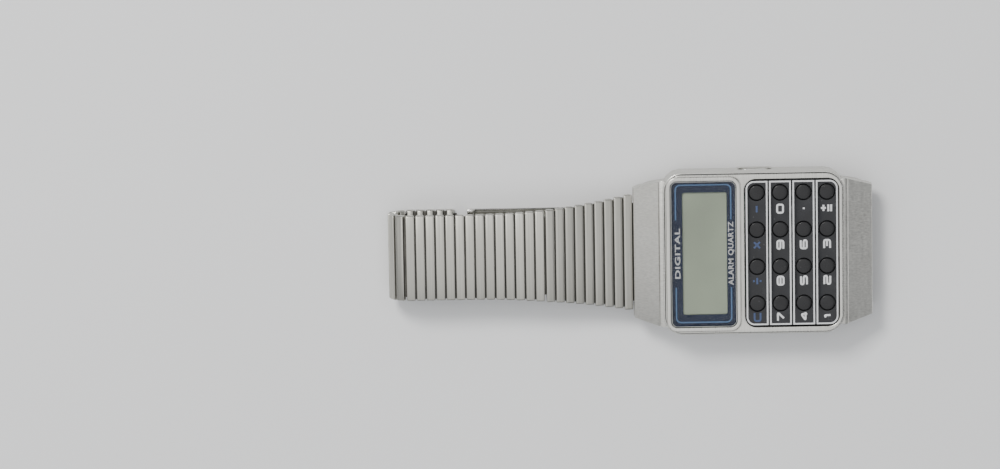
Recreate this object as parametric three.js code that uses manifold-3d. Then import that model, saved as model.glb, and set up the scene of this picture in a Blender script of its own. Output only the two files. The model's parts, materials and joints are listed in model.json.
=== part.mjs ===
// A calculator wristwatch: a steel case with a display above a sixteen-key pad, on a closed metal
// bracelet that lies flattened under the case. Millimetres, +Z up, the face looks up, the bracelet
// runs along X and the text on the keys reads towards +Y. The origin is under the middle of the
// bounding box, on the surface that the watch lies on.
import * as THREE from "three";
import { mergeVertices } from "three/addons/utils/BufferGeometryUtils.js";
import Module from "manifold-3d";

const wasm = await Module();
wasm.setup();

// ---- driving dimensions ------------------------------------------------------------------------
const CLEAR = 0.15; // between pieces of the head that touch
const GAP = 0.3; // between the links of the bracelet

const CASE = { x: 38.2, y: 34.6, r: 4.2, z0: 1.9, z1: 9.9 };
const FACE = { x: 37.2, y: 33.6, r: 3.6, z0: 9.2, z1: 10.35 };
const CAVITY = { x: 32.6, y: 29.2, r: 2.5, postR: 5, postZ: 6.3 };
const UPPER_CAVITY = { x: 35.4, y: 30.6, z: 7.2 };
const GASKET = { x: 34, y: 30.6, r: 6.6, rim: 0.45, z0: 2.87, z1: 3.2 };
const HOOD = { tip: 25.07, spread: 36, narrow: 27.6, root: 9.6, end: 6.95, under: 3.6 }; // spread: where its sides would meet x = 0

const DISPLAY = { x: -10.55, w: 13.8, d: 31.9, r: 1.6 }; // the glass, w along X and d along Y
const FRAME = { rim: 0.95, z0: 10.4, z1: 10.85 };
const LCD = { w: 9.6, d: 26.4 };

const KEYPAD = { x: 8, w: 19.9, d: 31.4, r: 2.4 };
const STRIP = { w: 4.65, d: 30.7, pitch: 4.9, r: 1.9 };
const KEY = { r: 1.6, flange: 2.05, pitch: 7.85, first: -10.7 };
const KEY_NAMES = [
  ["clear", "divide", "times", "minus"],
  ["7", "8", "9", "0"],
  ["4", "5", "6", "point"],
  ["1", "2", "3", "plus_equals"],
];

const PUSHER = { x: 0.5, z: 5.6, w: 5.2, h: 1.6 };

const LINK = { pitch: 2.09, thick: 1.6, wide: 25.3, narrow: 18, taper: 35 };
const CORE = { thick: 0.5, wide: 15 }; // the ribbon that carries the bars of a run
const KNUCKLE = { r: 0.42, hole: 0.27, pin: 0.16, half: 5, cheek: 1.4 };
const LUG = { r: 0.9, half: 10.5, bore: 0.5, pin: 0.4, reach: 1.15 };
const RISE_LINKS = 9;
const LEVEL_LINKS = 14;
const TURN = { links: 5, bend: 30 };
const STUB_LINKS = 5;
const RIGHT_BEND = 36;
const RIGHT_LINKS = 25;
const CLASP = { blade: 0.6, cover: 0.8, gap: 0.2, butt: 0.9, wide: 18, arm: 3 };
const CLASP_PIN = { barrel: 0.65, bore: 0.4, pin: 0.25 };
const COVER_PIN = { barrel: 0.42, bore: 0.28, pin: 0.16 };

const STEEL = { color: 0xc3c3be, metalness: 0.9, roughness: 0.35 };
const PLASTIC = { color: 0x2e2e32, metalness: 0, roughness: 0.5 };

// ---- solids ------------------------------------------------------------------------------------
/** A closed three.js geometry as a manifold-3d solid. */
function solid(geometry) {
  const bare = geometry.index ? geometry.toNonIndexed() : geometry.clone();
  bare.deleteAttribute("normal");
  bare.deleteAttribute("uv");
  const merged = mergeVertices(bare, 1e-4);
  return new wasm.Manifold(
    new wasm.Mesh({
      numProp: 3,
      vertProperties: merged.attributes.position.array,
      triVerts: new Uint32Array(merged.index.array),
    }),
  );
}

/** A manifold-3d solid as a flat-shaded three.js geometry. */
function geometryOf(made) {
  const { vertProperties, triVerts, numProp, numVert } = made.getMesh();
  const places = new Float32Array(numVert * 3);
  for (let i = 0; i < numVert; i++)
    places.set(vertProperties.subarray(i * numProp, i * numProp + 3), i * 3);
  const geometry = new THREE.BufferGeometry();
  geometry.setAttribute("position", new THREE.BufferAttribute(places, 3));
  geometry.setIndex(new THREE.BufferAttribute(triVerts, 1));
  geometry.computeVertexNormals();
  return geometry;
}

function mesh(name, shape, look, extra = {}) {
  const geometry = shape.isBufferGeometry ? shape : geometryOf(shape);
  const made = new THREE.Mesh(geometry, new THREE.MeshStandardMaterial({ ...look, ...extra }));
  made.name = name;
  return made;
}

/** A rounded rectangle, w along X and d along Y, about (cx, cy). */
function roundedRect(w, d, r, cx = 0, cy = 0) {
  const [x, y] = [w / 2 - r, d / 2 - r];
  const shape = new THREE.Shape();
  shape.absarc(cx + x, cy + y, r, 0, Math.PI / 2);
  shape.absarc(cx - x, cy + y, r, Math.PI / 2, Math.PI);
  shape.absarc(cx - x, cy - y, r, Math.PI, 1.5 * Math.PI);
  shape.absarc(cx + x, cy - y, r, 1.5 * Math.PI, 2 * Math.PI);
  shape.closePath();
  return shape;
}

function polygon(points) {
  return new THREE.Shape(points.map(([x, y]) => new THREE.Vector2(x, y)));
}

/** An outline in XY, raised from z0 to z1, with both rims chamfered by bevel. */
function slab(shape, z0, z1, bevel = 0, segments = 3) {
  const made = new THREE.ExtrudeGeometry(shape, {
    depth: z1 - z0 - 2 * bevel,
    curveSegments: segments,
    bevelEnabled: bevel > 0,
    bevelThickness: bevel,
    bevelSize: bevel,
    bevelOffset: -bevel,
    bevelSegments: 1,
  });
  return solid(made.translate(0, 0, z0 + bevel));
}

function box(x0, x1, y0, y1, z0, z1) {
  const made = new THREE.BoxGeometry(x1 - x0, y1 - y0, z1 - z0);
  return solid(made.translate((x0 + x1) / 2, (y0 + y1) / 2, (z0 + z1) / 2));
}

/** An outline in XZ, drawn out along Y from y0 to y1. */
function across(points, y0, y1) {
  const made = new THREE.ExtrudeGeometry(polygon(points), { depth: y1 - y0, bevelEnabled: false });
  return solid(made.rotateX(Math.PI / 2).translate(0, y1, 0));
}

/** A round bar along Y. */
function barY(r, half, x, z, sides = 8) {
  const made = new THREE.CylinderGeometry(r, r, 2 * half, sides);
  return solid(made.translate(x, 0, z));
}

/** A round bar along Z. */
function barZ(r, z0, z1, x, y, sides = 12) {
  const made = new THREE.CylinderGeometry(r, r, z1 - z0, sides).rotateX(Math.PI / 2);
  return solid(made.translate(x, y, (z0 + z1) / 2));
}

const subtractAll = (body, cuts) => cuts.reduce((left, cut) => left.subtract(cut), body);
const addAll = (parts) => parts.reduce((sum, part) => sum.add(part));
const radians = THREE.MathUtils.degToRad;

// ---- the bracelet's own geometry -----------------------------------------------------------------
/** The width of a bar whose middle is s from the hood: a hollow taper, then parallel. */
function barWidth(s) {
  const left = Math.max(0, 1 - s / LINK.taper);
  return LINK.narrow + (LINK.wide - LINK.narrow) * left * left;
}

/** One bar of the bracelet about the origin: flat on top, drawn in underneath so that it can curl. */
function linkBar(width) {
  const [h, top, foot] = [LINK.thick / 2, (LINK.pitch - GAP) / 2, 0.6];
  const half = [
    [foot, -h],
    [top, 0.2],
    [top, h - 0.15],
    [top - 0.15, h],
  ];
  const mirrored = half.map(([x, z]) => [-x, z]).reverse();
  return across([...half, ...mirrored], -width / 2, width / 2);
}

/**
 * A run of bars from its own hinge pin along +X, with the outer side up. lead is the bare length
 * before the first bar, s0 how far the run starts from the hood. The near end carries a pin in a
 * pocket, or the hood's lug; the far end carries a knuckle where another link follows.
 */
function linkRun(count, { lead = 0, s0 = 0, lug = false, knuckle = true } = {}) {
  const p = LINK.pitch;
  const end = lead + count * p;
  const bars = [];
  for (let i = 0; i < count; i++) {
    const middle = lead + (i + 0.5) * p;
    bars.push(linkBar(barWidth(s0 + middle)).translate([middle, 0, 0]));
  }
  const core = box(lead + p / 2, end - p / 2, -CORE.wide / 2, CORE.wide / 2, -0.3, CORE.thick - 0.3);
  let run = addAll(count > 1 ? [...bars, core] : bars);
  if (lug) {
    const tongue = box(0, lead + p / 2, -LUG.half, LUG.half, -0.45, 0.45);
    run = run.add(tongue).add(barY(LUG.r, LUG.half, 0, 0)).subtract(barY(LUG.bore, 20, 0, 0));
  } else {
    const pocket = barY(KNUCKLE.r + CLEAR, KNUCKLE.half + CLEAR, 0, 0);
    run = run.subtract(pocket).add(pinCarrier());
  }
  if (!knuckle) return run;
  const room = barY(2 * CLEAR + 0.35, KNUCKLE.half + KNUCKLE.cheek + 2 * CLEAR, end, 0);
  const tongue = box(end - p / 2, end, -KNUCKLE.half, KNUCKLE.half, -0.3, 0.2);
  const barrel = barY(KNUCKLE.r, KNUCKLE.half, end, 0);
  return addAll([run.subtract(room), tongue, barrel]).subtract(barY(KNUCKLE.hole, 9, end, 0));
}

/** The pin that stands in a link's pocket, with the cheeks that hold it. */
function pinCarrier() {
  const [near, far] = [KNUCKLE.half + CLEAR, KNUCKLE.half + KNUCKLE.cheek];
  const cheeks = pairY(near, far).flatMap(([y0, y1]) => [
    box(0, LINK.pitch / 2, y0, y1, -0.3, 0.3),
    solid(new THREE.CylinderGeometry(0.35, 0.35, y1 - y0, 8).translate(0, (y0 + y1) / 2, 0)),
  ]);
  return addAll([barY(KNUCKLE.pin, far, 0, 0), ...cheeks]);
}

// ---- the head: case, glass, keypad and module ------------------------------------------------------
function hoodProfile() {
  const pinX = HOOD.tip - LUG.r;
  const arc = [];
  for (let a = 210; a <= 335; a += 25) {
    const r = LUG.r + 0.25;
    arc.push([pinX + r * Math.cos(radians(a)), hoodPinZ + r * Math.sin(radians(a))]);
  }
  const root = CASE.x / 2 - 1.2;
  const slope = (HOOD.root - HOOD.end) / (HOOD.tip - CASE.x / 2);
  return [
    [root, HOOD.under],
    [22, HOOD.under],
    ...arc,
    [HOOD.tip, hoodPinZ - 0.3],
    [HOOD.tip, HOOD.end],
    [root, HOOD.root + 1.2 * slope],
  ];
}

/** One hood, on the +X side: a sloping shoulder with a pocket for the bracelet's lug. */
function hood() {
  const pinX = HOOD.tip - LUG.r;
  const plan = polygon([
    [0, -HOOD.spread / 2],
    [HOOD.tip, -HOOD.narrow / 2],
    [HOOD.tip, HOOD.narrow / 2],
    [0, HOOD.spread / 2],
  ]);
  const body = across(hoodProfile(), -18, 18).intersect(slab(plan, 0, 20));
  const open = LUG.r + 0.25;
  const pocket = across(
    [
      [pinX - 1.3, HOOD.under - 1],
      [HOOD.tip + 1, HOOD.under - 1],
      [HOOD.tip + 1, hoodPinZ + open],
      [pinX, hoodPinZ + open],
      [pinX - 0.8, hoodPinZ + 0.8],
      [pinX - 1.3, hoodPinZ],
    ],
    -LUG.half - GAP,
    LUG.half + GAP,
  );
  return body.subtract(pocket).subtract(barY(LUG.bore, LUG.half + 1.7, pinX, hoodPinZ));
}

function caseBody() {
  const outer = slab(roundedRect(CASE.x, CASE.y, CASE.r), CASE.z0, CASE.z1, 0.5);
  const cavity = slab(roundedRect(CAVITY.x, CAVITY.y, CAVITY.r), CAVITY.postZ, 12);
  const top = slab(roundedRect(UPPER_CAVITY.x, UPPER_CAVITY.y, CAVITY.r), UPPER_CAVITY.z, 12);
  const low = slab(roundedRect(CAVITY.x, CAVITY.y, CAVITY.postR), 0, 12);
  const { x, y, r, rim, z0, z1 } = GASKET;
  const groove = ring(x + 0.3, y + 0.3, r + 0.15, rim + 0.3, z0 - 0.1, z1 + 0.1);
  const seatOf = (size) => [size.x + 2 * CLEAR, size.y + 2 * CLEAR, size.r + CLEAR];
  const faceSeat = slab(roundedRect(...seatOf(FACE)), FACE.z0 - CLEAR, 12);
  const backSeat = slab(roundedRect(...seatOf(BACK)), 0, BACK.z1 + CLEAR);
  const right = hood();
  const left = right.mirror([1, 0, 0]);
  const cuts = [cavity, top, low, groove, faceSeat, backSeat];
  for (const side of [1, -1]) {
    const slot = roundedSlot(PUSHER.w + 2 * CLEAR, PUSHER.h + 2 * CLEAR, side, 10, 20);
    const dish = roundedSlot(PUSHER.w + 2, PUSHER.h + 1.4, side, CASE.y / 2 - 0.6, 20);
    cuts.push(slot, dish);
  }
  for (const [x, y] of SCREWS) cuts.push(barZ(0.45, BACK.z1, BACK.z1 + 3, x, y, 8));
  return subtractAll(addAll([outer, right, left]), cuts);
}

/** A round-ended bar along Y at the pushers' place, from y0 to y1 on one side of the case. */
function roundedSlot(w, h, side, y0, y1) {
  const made = new THREE.ExtrudeGeometry(roundedRect(w, h, h / 2 - 0.01), {
    depth: y1 - y0,
    curveSegments: 3,
    bevelEnabled: false,
  });
  made.rotateX(Math.PI / 2).translate(PUSHER.x, side > 0 ? y1 : -y0, PUSHER.z);
  return solid(made);
}

const BACK = { x: 34.6, y: 31.4, r: 3.4, z0: 1.9, z1: 2.7 };
const SCREWS = [1, -1].flatMap((a) => [1, -1].map((b) => [a * 15.5, b * 13.8]));
const hoodPinZ =
  LINK.thick / 2 +
  (LUG.reach + LINK.pitch) * Math.sin(radians(2 * RIGHT_BEND)) +
  LINK.pitch * Math.sin(radians(RIGHT_BEND));

function caseBack() {
  const plate = slab(roundedRect(BACK.x, BACK.y, BACK.r), BACK.z0, BACK.z1, 0.2);
  return subtractAll(
    plate,
    SCREWS.flatMap(([x, y]) => [barZ(0.6, 0, 5, x, y, 8), barZ(1.15, 0, BACK.z0 + 0.45, x, y, 10)]),
  );
}

function backScrew([x, y]) {
  const head = barZ(1, BACK.z0 + 0.05, BACK.z0 + 0.35, x, y, 10);
  const slot = box(x - 2, x + 2, y - 0.15, y + 0.15, 0, BACK.z0 + 0.2);
  return head.add(barZ(0.35, BACK.z0 + 0.3, BACK.z1 + 2.4, x, y, 8)).subtract(slot);
}

/** A flat ring between two rounded rectangles. */
function ring(w, d, r, rim, z0, z1, cx = 0, bevel = 0) {
  const outer = slab(roundedRect(w, d, r, cx), z0, z1, bevel);
  return outer.subtract(slab(roundedRect(w - 2 * rim, d - 2 * rim, r - rim * 0.6, cx), z0 - 1, z1 + 1));
}

function facePlate() {
  const plate = slab(roundedRect(FACE.x, FACE.y, FACE.r), FACE.z0, FACE.z1, 0.25);
  const glassHole = roundedRect(DISPLAY.w, DISPLAY.d, DISPLAY.r, DISPLAY.x);
  const keyHole = roundedRect(KEYPAD.w, KEYPAD.d, KEYPAD.r, KEYPAD.x);
  return subtractAll(plate, [slab(glassHole, 0, 20), slab(keyHole, 0, 20)]);
}

function displayFrame() {
  const [w, d] = [DISPLAY.w + 2 * FRAME.rim, DISPLAY.d + 2 * FRAME.rim - 0.9];
  const outer = slab(roundedRect(w, d, DISPLAY.r + 0.6, DISPLAY.x), FRAME.z0, FRAME.z1, 0.2);
  const hole = slab(roundedRect(DISPLAY.w - 0.2, DISPLAY.d - 0.2, DISPLAY.r, DISPLAY.x), 0, 20);
  return outer.subtract(hole);
}

function keypadPanel() {
  const sheet = slab(roundedRect(KEYPAD.w - 0.3, KEYPAD.d - 0.3, KEYPAD.r - 0.1, KEYPAD.x), 9.2, 9.8);
  const strips = KEY_NAMES.map((_, row) =>
    box(rowX(row) - STRIP.w / 2, rowX(row) + STRIP.w / 2, -STRIP.d / 2, STRIP.d / 2, 9.7, 10.2),
  );
  const rows = 3 * STRIP.pitch + STRIP.w;
  const corners = slab(roundedRect(rows, STRIP.d, STRIP.r, KEYPAD.x), 0, 20);
  const holes = KEY_NAMES.flatMap((names, row) =>
    names.map((_, column) => barZ(KEY.r + 0.2, 9, 11, rowX(row), keyY(column))),
  );
  return subtractAll(addAll([sheet, addAll(strips).intersect(corners)]), holes);
}

const rowX = (row) => KEYPAD.x + (row - 1.5) * STRIP.pitch;
const keyY = (column) => KEY.first + column * KEY.pitch;

/** A key: a low dome on a stem, with a flange that stays under the panel. */
function keyCap(row, column) {
  const [flangeLow, flangeHigh, shoulder, crown] = [8.45, 8.85, 10.25, 10.5];
  const profile = [
    [0, flangeLow],
    [KEY.flange, flangeLow],
    [KEY.flange, flangeHigh],
    [KEY.r, flangeHigh],
    [KEY.r, shoulder],
    [KEY.r * 0.72, crown - 0.05],
    [0, crown],
  ];
  const made = new THREE.LatheGeometry(profile.map(([r, z]) => new THREE.Vector2(r, z)), 12);
  return made.rotateX(Math.PI / 2).translate(rowX(row), keyY(column), 0);
}

/** The rubber sheet under the keys, with a contact stud under each. */
function keyMat() {
  const sheet = slab(roundedRect(KEYPAD.w - 1.2, KEYPAD.d - 2.2, 1, KEYPAD.x), 7.45, 7.7);
  const studs = KEY_NAMES.flatMap((names, row) =>
    names.map((_, column) => barZ(0.9, 7.6, 7.95, rowX(row), keyY(column), 6)),
  );
  return addAll([sheet, ...studs]);
}

function pusher(side) {
  const stem = roundedSlot(PUSHER.w, PUSHER.h, side, 13.9, CASE.y / 2 - 0.1);
  const flange = roundedSlot(PUSHER.w + 1.4, PUSHER.h + 1.4, side, 13.9, 14.35);
  const guide = new THREE.CylinderGeometry(0.45, 0.45, 1.6, 8);
  return addAll([stem, flange, solid(guide.translate(PUSHER.x, side * 13.3, PUSHER.z))]);
}

/** A short coil spring on the pusher's guide, drawn at its pressed length. */
function pusherSpring(side) {
  const [turns, r, wire, y0, length] = [3, 0.85, 0.13, 12.35, 0.85];
  class Helix extends THREE.Curve {
    getPoint(t, target = new THREE.Vector3()) {
      const a = 2 * Math.PI * turns * t;
      return target.set(PUSHER.x + r * Math.cos(a), side * (y0 + length * t), PUSHER.z + r * Math.sin(a));
    }
  }
  const section = new THREE.Shape();
  section.absarc(0, 0, wire, 0, 2 * Math.PI);
  return new THREE.ExtrudeGeometry(section, {
    steps: turns * 8,
    curveSegments: 2,
    extrudePath: new Helix(),
  });
}

/** The space behind each pusher. */
const pusherRooms = () =>
  pairY(11.9, 15).map(([y0, y1]) => box(PUSHER.x - 3.8, PUSHER.x + 3.8, y0, y1, 3, 8));

/** The moulded frame that the movement's parts sit in. */
function moduleFrame() {
  const block = slab(roundedRect(CAVITY.x - 1, CAVITY.y - 1, CAVITY.postR - 0.4), 3.5, 6.2);
  return subtractAll(block, [
    barZ(6.1, 3, 5.9, -4, -6.5, 24),
    slab(roundedRect(9, 12, 1, 9, 2), 3, 7),
    barZ(1.2, 3, 7, -11.5, 8, 12),
    ...pusherRooms(),
  ]);
}

function makeHead() {
  const head = new THREE.Group();
  const put = (...pieces) => head.add(...pieces);
  put(mesh("case_body", caseBody(), STEEL), mesh("case_back", caseBack(), STEEL));
  SCREWS.forEach((place, i) => put(mesh(`back_screw_${i + 1}`, backScrew(place), STEEL)));
  const { x, y, r, rim, z0, z1 } = GASKET;
  put(mesh("back_gasket", ring(x, y, r, rim, z0, z1), PLASTIC));
  put(mesh("face_plate", facePlate(), STEEL), mesh("display_frame", displayFrame(), STEEL));

  const glass = roundedRect(DISPLAY.w - 0.3, DISPLAY.d - 0.3, DISPLAY.r - 0.1, DISPLAY.x);
  put(mesh("display_crystal", slab(glass, 9.65, 10.3), { color: 0x223047, roughness: 0.05 }));
  const mask = slab(glass, 9.3, 9.5);
  const window = slab(roundedRect(LCD.w, LCD.d, 0.4, DISPLAY.x), 9, 10);
  put(mesh("display_mask", mask.subtract(window), { color: 0x1e2d4b, roughness: 0.3 }));
  const cell = slab(roundedRect(11, 27.2, 1, DISPLAY.x), 8.1, 9);
  put(mesh("lcd_panel", cell, { color: 0x96a08c, roughness: 0.3 }));
  const contact = (x) => box(x - 0.5, x + 0.5, -12.5, 12.5, 7.25, 7.95);
  put(mesh("zebra_strip_1", contact(DISPLAY.x - 4.6), PLASTIC));
  put(mesh("zebra_strip_2", contact(DISPLAY.x + 4.6), PLASTIC));

  put(mesh("keypad_panel", keypadPanel(), PLASTIC));
  put(mesh("key_mat", keyMat(), PLASTIC, { color: 0x8a8a86 }));
  const sheet = slab(roundedRect(CAVITY.x - 1, CAVITY.y - 1, CAVITY.r), 6.4, 7.1);
  const board = subtractAll(sheet, pusherRooms());
  put(mesh("circuit_board", board, { color: 0x2f5c3a, roughness: 0.6 }));
  put(mesh("module_frame", moduleFrame(), PLASTIC));
  put(mesh("battery", barZ(5.8, 3.55, 5.7, -4, -6.5, 24), STEEL));
  put(mesh("chip", box(6, 12, -1.5, 5.5, 5, 6.25), PLASTIC));
  put(mesh("quartz_crystal", barZ(0.95, 3.7, 6.2, -11.5, 8, 12), STEEL));
  put(mesh("piezo_disc", barZ(9, 3, 3.25, 2, 0, 32), { color: 0xb08d4a, metalness: 0.8 }));

  KEY_NAMES.forEach((names, row) =>
    names.forEach((name, column) => put(mesh("key_" + name, keyCap(row, column), PLASTIC))),
  );
  [1, -1].forEach((side) => {
    const where = side > 0 ? "upper" : "lower";
    put(mesh(`pusher_${where}`, pusher(side), STEEL));
    put(mesh(`pusher_spring_${where}`, pusherSpring(side), STEEL));
  });
  for (const [side, where] of [[-1, "left"], [1, "right"]]) {
    const bar = barY(LUG.pin, LUG.half + 1.5, side * (HOOD.tip - LUG.r), hoodPinZ);
    put(mesh(`spring_bar_${where}`, bar, STEEL));
  }
  return head;
}

// ---- the strands and the clasp ---------------------------------------------------------------------
/** A hinge: a group at a pin, turned by bend degrees from its parent, curling inwards if positive. */
function hinge(name, parent, x, bend) {
  const group = new THREE.Group();
  group.name = name;
  group.position.x = x;
  group.rotation.y = radians(bend);
  parent.add(group);
  return group;
}

function makeLeftStrand(strand) {
  const p = LINK.pitch;
  const rise = LUG.reach + RISE_LINKS * p;
  let climb = LINK.thick / 2 - hoodPinZ;
  for (let i = 1; i <= TURN.links; i++) climb += p * Math.sin(radians(i * TURN.bend));
  const slope = THREE.MathUtils.radToDeg(Math.asin(climb / rise));
  const first = hinge("hinge_left_hood", strand, 0, -slope);
  const riseRun = linkRun(RISE_LINKS, { lead: LUG.reach, lug: true });
  first.add(mesh("left_run_rise", riseRun, STEEL));
  const level = hinge("hinge_left_crest", first, rise, slope);
  level.add(mesh("left_run_level", linkRun(LEVEL_LINKS, { s0: rise }), STEEL));
  let last = level;
  let reach = LEVEL_LINKS * p;
  for (let i = 1; i <= TURN.links; i++) {
    last = hinge(`hinge_left_turn_${i}`, last, reach, TURN.bend);
    last.add(mesh(`left_link_${i}`, linkRun(1, { s0: 99 }), STEEL));
    reach = p;
  }
  const stub = hinge(`hinge_left_turn_${TURN.links + 1}`, last, reach, TURN.bend);
  stub.add(mesh("left_run_lower", linkRun(STUB_LINKS, { s0: 99, knuckle: true }), STEEL));
  return stub;
}

function makeRightStrand(strand) {
  const p = LINK.pitch;
  const first = hinge("hinge_right_hood", strand, 0, 180 - 2 * RIGHT_BEND);
  first.add(mesh("right_link_1", linkRun(1, { lead: LUG.reach, lug: true }), STEEL));
  const second = hinge("hinge_right_bend_1", first, LUG.reach + p, RIGHT_BEND);
  second.add(mesh("right_link_2", linkRun(1, { s0: LUG.reach + p }), STEEL));
  const lower = hinge("hinge_right_bend_2", second, p, RIGHT_BEND);
  const run = linkRun(RIGHT_LINKS, { s0: LUG.reach + 2 * p, knuckle: false });
  lower.add(mesh("right_run_lower", run, STEEL));
}

/**
 * The folded clasp, in the frame of the last left link, whose outer side is down: three leaves
 * along +X, the inner blade nearest the wrist, then the outer blade, then the cover.
 */
function makeClasp(stub, length) {
  const top = LINK.thick / 2; // the cover's outer face, level with the links
  const outerHigh = top - CLASP.cover - CLASP.gap;
  const innerHigh = outerHigh - CLASP.blade - CLASP.gap;
  const farX = length - 1.8;
  const farZ = innerHigh - 0.1;
  const coverX = 3;
  const inner = hinge("hinge_clasp_inner", stub, STUB_LINKS * LINK.pitch, 0);
  inner.add(mesh("clasp_inner_blade", innerBlade(innerHigh, farX, farZ), STEEL));
  const outer = hinge("hinge_clasp_outer", inner, farX, 0);
  outer.position.z = farZ;
  outer.add(mesh("clasp_outer_blade", outerBlade(outerHigh - farZ, coverX - farX), STEEL));
  const cover = hinge("hinge_clasp_cover", outer, coverX - farX, 0);
  cover.position.z = outerHigh - CLASP.blade / 2 - farZ;
  const coverHigh = top - outerHigh + CLASP.blade / 2;
  cover.add(mesh("clasp_cover", claspCover(coverHigh, length - coverX), STEEL));
}

const pairY = (y0, y1) => [[y0, y1], [-y1, -y0]];

/** The blade that hangs on the last link's knuckle and ends in a narrow barrel at the far end. */
function innerBlade(high, farX, farZ) {
  const half = CLASP.wide / 2 - 1.5;
  const low = high - CLASP.blade;
  const plate = box(0.4, farX - 1.3, -half, half, low, high);
  const neck = box(0.35, 1.25, -6.5, 6.5, low, 0.3);
  const arm = box(farX - 1.6, farX, -CLASP.arm, CLASP.arm, low, high);
  const barrel = barY(CLASP_PIN.barrel, CLASP.arm, farX, farZ);
  const pocket = barY(KNUCKLE.r + CLEAR, KNUCKLE.half + CLEAR, 0, 0);
  return addAll([plate, neck, arm, barrel])
    .subtract(pocket)
    .subtract(barY(CLASP_PIN.bore, 9, farX, farZ))
    .add(pinCarrier());
}

/** The blade that folds back from the inner one; high is its outer face, nearX its free end. */
function outerBlade(high, nearX) {
  const half = CLASP.wide / 2 - 1.5;
  const plate = box(nearX, 0.9, -half, half, high - CLASP.blade, high);
  const cheeks = pairY(CLASP.arm + CLEAR, 5).map(([y0, y1]) => box(-0.75, 0.9, y0, y1, -0.4, high));
  const room = barY(CLASP_PIN.barrel + CLEAR, CLASP.arm + CLEAR, 0, 0);
  const nearZ = high - CLASP.blade / 2;
  const barrel = barY(COVER_PIN.barrel, half - 0.3, nearX, nearZ);
  return addAll([plate, ...cheeks])
    .subtract(room)
    .subtract(box(nearX - 1, nearX + 0.5, half - 0.3, 20, -5, 5))
    .subtract(box(nearX - 1, nearX + 0.5, -20, 0.3 - half, -5, 5))
    .add(barY(CLASP_PIN.pin, 4.5, 0, 0))
    .add(barrel)
    .subtract(barY(COVER_PIN.bore, 20, nearX, nearZ));
}

/** The cover, on a thin pin between its ears; its far end butts against the other strand. */
function claspCover(high, farX) {
  const half = CLASP.wide / 2;
  const plate = box(-0.3, farX, -half, half, high - CLASP.cover, high);
  const ears = pairY(half - 1.2, half).map(([y0, y1]) => box(-0.4, 1.2, y0, y1, -0.45, high));
  return addAll([plate, ...ears, barY(COVER_PIN.pin, half - 0.5, 0, 0)]);
}

function makeWatch() {
  const watch = new THREE.Group();
  watch.add(makeHead());
  const left = new THREE.Group();
  left.position.set(-(HOOD.tip - LUG.r), 0, hoodPinZ);
  left.rotation.z = Math.PI;
  const right = new THREE.Group();
  right.position.set(HOOD.tip - LUG.r, 0, hoodPinZ);
  watch.add(left, right);
  const stub = makeLeftStrand(left);
  makeRightStrand(right);
  watch.updateMatrixWorld(true);
  const stubEnd = stub.localToWorld(new THREE.Vector3(STUB_LINKS * LINK.pitch, 0, 0)).x;
  const bends = [2, 1].reduce((sum, n) => sum + Math.cos(radians(180 - n * RIGHT_BEND)), 0);
  const lead = LUG.reach * Math.cos(radians(180 - 2 * RIGHT_BEND));
  const runEnd = HOOD.tip - LUG.r + lead + (bends - RIGHT_LINKS) * LINK.pitch;
  makeClasp(stub, runEnd - CLASP.butt - stubEnd);
  return watch;
}

const watch = makeWatch();
watch.updateMatrixWorld(true);
const bounds = new THREE.Box3().setFromObject(watch, true);
watch.position.x = -(bounds.min.x + bounds.max.x) / 2;
watch.position.z = -bounds.min.z;

const root = new THREE.Group();
root.name = "calculator_wristwatch";
root.add(watch);
export default root;
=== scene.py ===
"""The looks of a calculator wristwatch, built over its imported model: satin steel case, face plate and
display, lacquered keypad with printed legends, bracelet of satin bars and folding clasp. Metres, +Z up,
the bracelet runs along X and the legends read towards +Y."""

import json
import math

import bmesh
import bpy
from bpy.props import FloatProperty, FloatVectorProperty, PointerProperty
from mathutils import Matrix, Vector


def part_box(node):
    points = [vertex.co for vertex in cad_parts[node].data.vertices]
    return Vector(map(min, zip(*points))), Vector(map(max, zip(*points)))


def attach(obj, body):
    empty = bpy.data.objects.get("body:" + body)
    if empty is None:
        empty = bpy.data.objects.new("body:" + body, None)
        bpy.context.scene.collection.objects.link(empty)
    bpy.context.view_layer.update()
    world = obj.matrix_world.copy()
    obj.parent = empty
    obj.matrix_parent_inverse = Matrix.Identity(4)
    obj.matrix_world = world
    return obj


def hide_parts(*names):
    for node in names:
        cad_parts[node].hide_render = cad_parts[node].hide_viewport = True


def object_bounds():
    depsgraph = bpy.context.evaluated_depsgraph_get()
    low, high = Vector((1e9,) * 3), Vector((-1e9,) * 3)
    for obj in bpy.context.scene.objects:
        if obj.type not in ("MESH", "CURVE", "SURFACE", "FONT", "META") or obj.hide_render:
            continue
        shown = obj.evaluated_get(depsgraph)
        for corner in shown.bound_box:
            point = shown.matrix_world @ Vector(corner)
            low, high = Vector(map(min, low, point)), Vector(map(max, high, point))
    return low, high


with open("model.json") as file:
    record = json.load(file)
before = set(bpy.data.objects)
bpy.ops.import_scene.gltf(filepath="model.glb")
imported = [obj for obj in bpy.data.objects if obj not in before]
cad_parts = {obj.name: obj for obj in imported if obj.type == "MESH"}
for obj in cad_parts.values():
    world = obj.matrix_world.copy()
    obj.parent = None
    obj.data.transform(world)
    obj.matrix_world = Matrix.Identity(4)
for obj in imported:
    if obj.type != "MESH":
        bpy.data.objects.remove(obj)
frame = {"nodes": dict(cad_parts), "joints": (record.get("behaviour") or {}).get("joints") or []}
CAD_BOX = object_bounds()
MM = 0.001
JOINTS = {joint["name"]: joint for joint in frame["joints"]}

bl_info = {
    "name": "Calculator wristwatch",
    "version": (1, 0, 0),
    "blender": (4, 5, 0),
    "location": "3D View > Sidebar > Watch",
    "description": "Builds the visible pieces of a calculator wristwatch over its packed model",
    "category": "Object",
}


# ---- sizes and colours a user would change -------------------------------------------------------
def length(name, description, millimetres):
    return FloatProperty(
        name=name, description=description, default=millimetres * MM, unit="LENGTH", precision=5
    )


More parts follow.
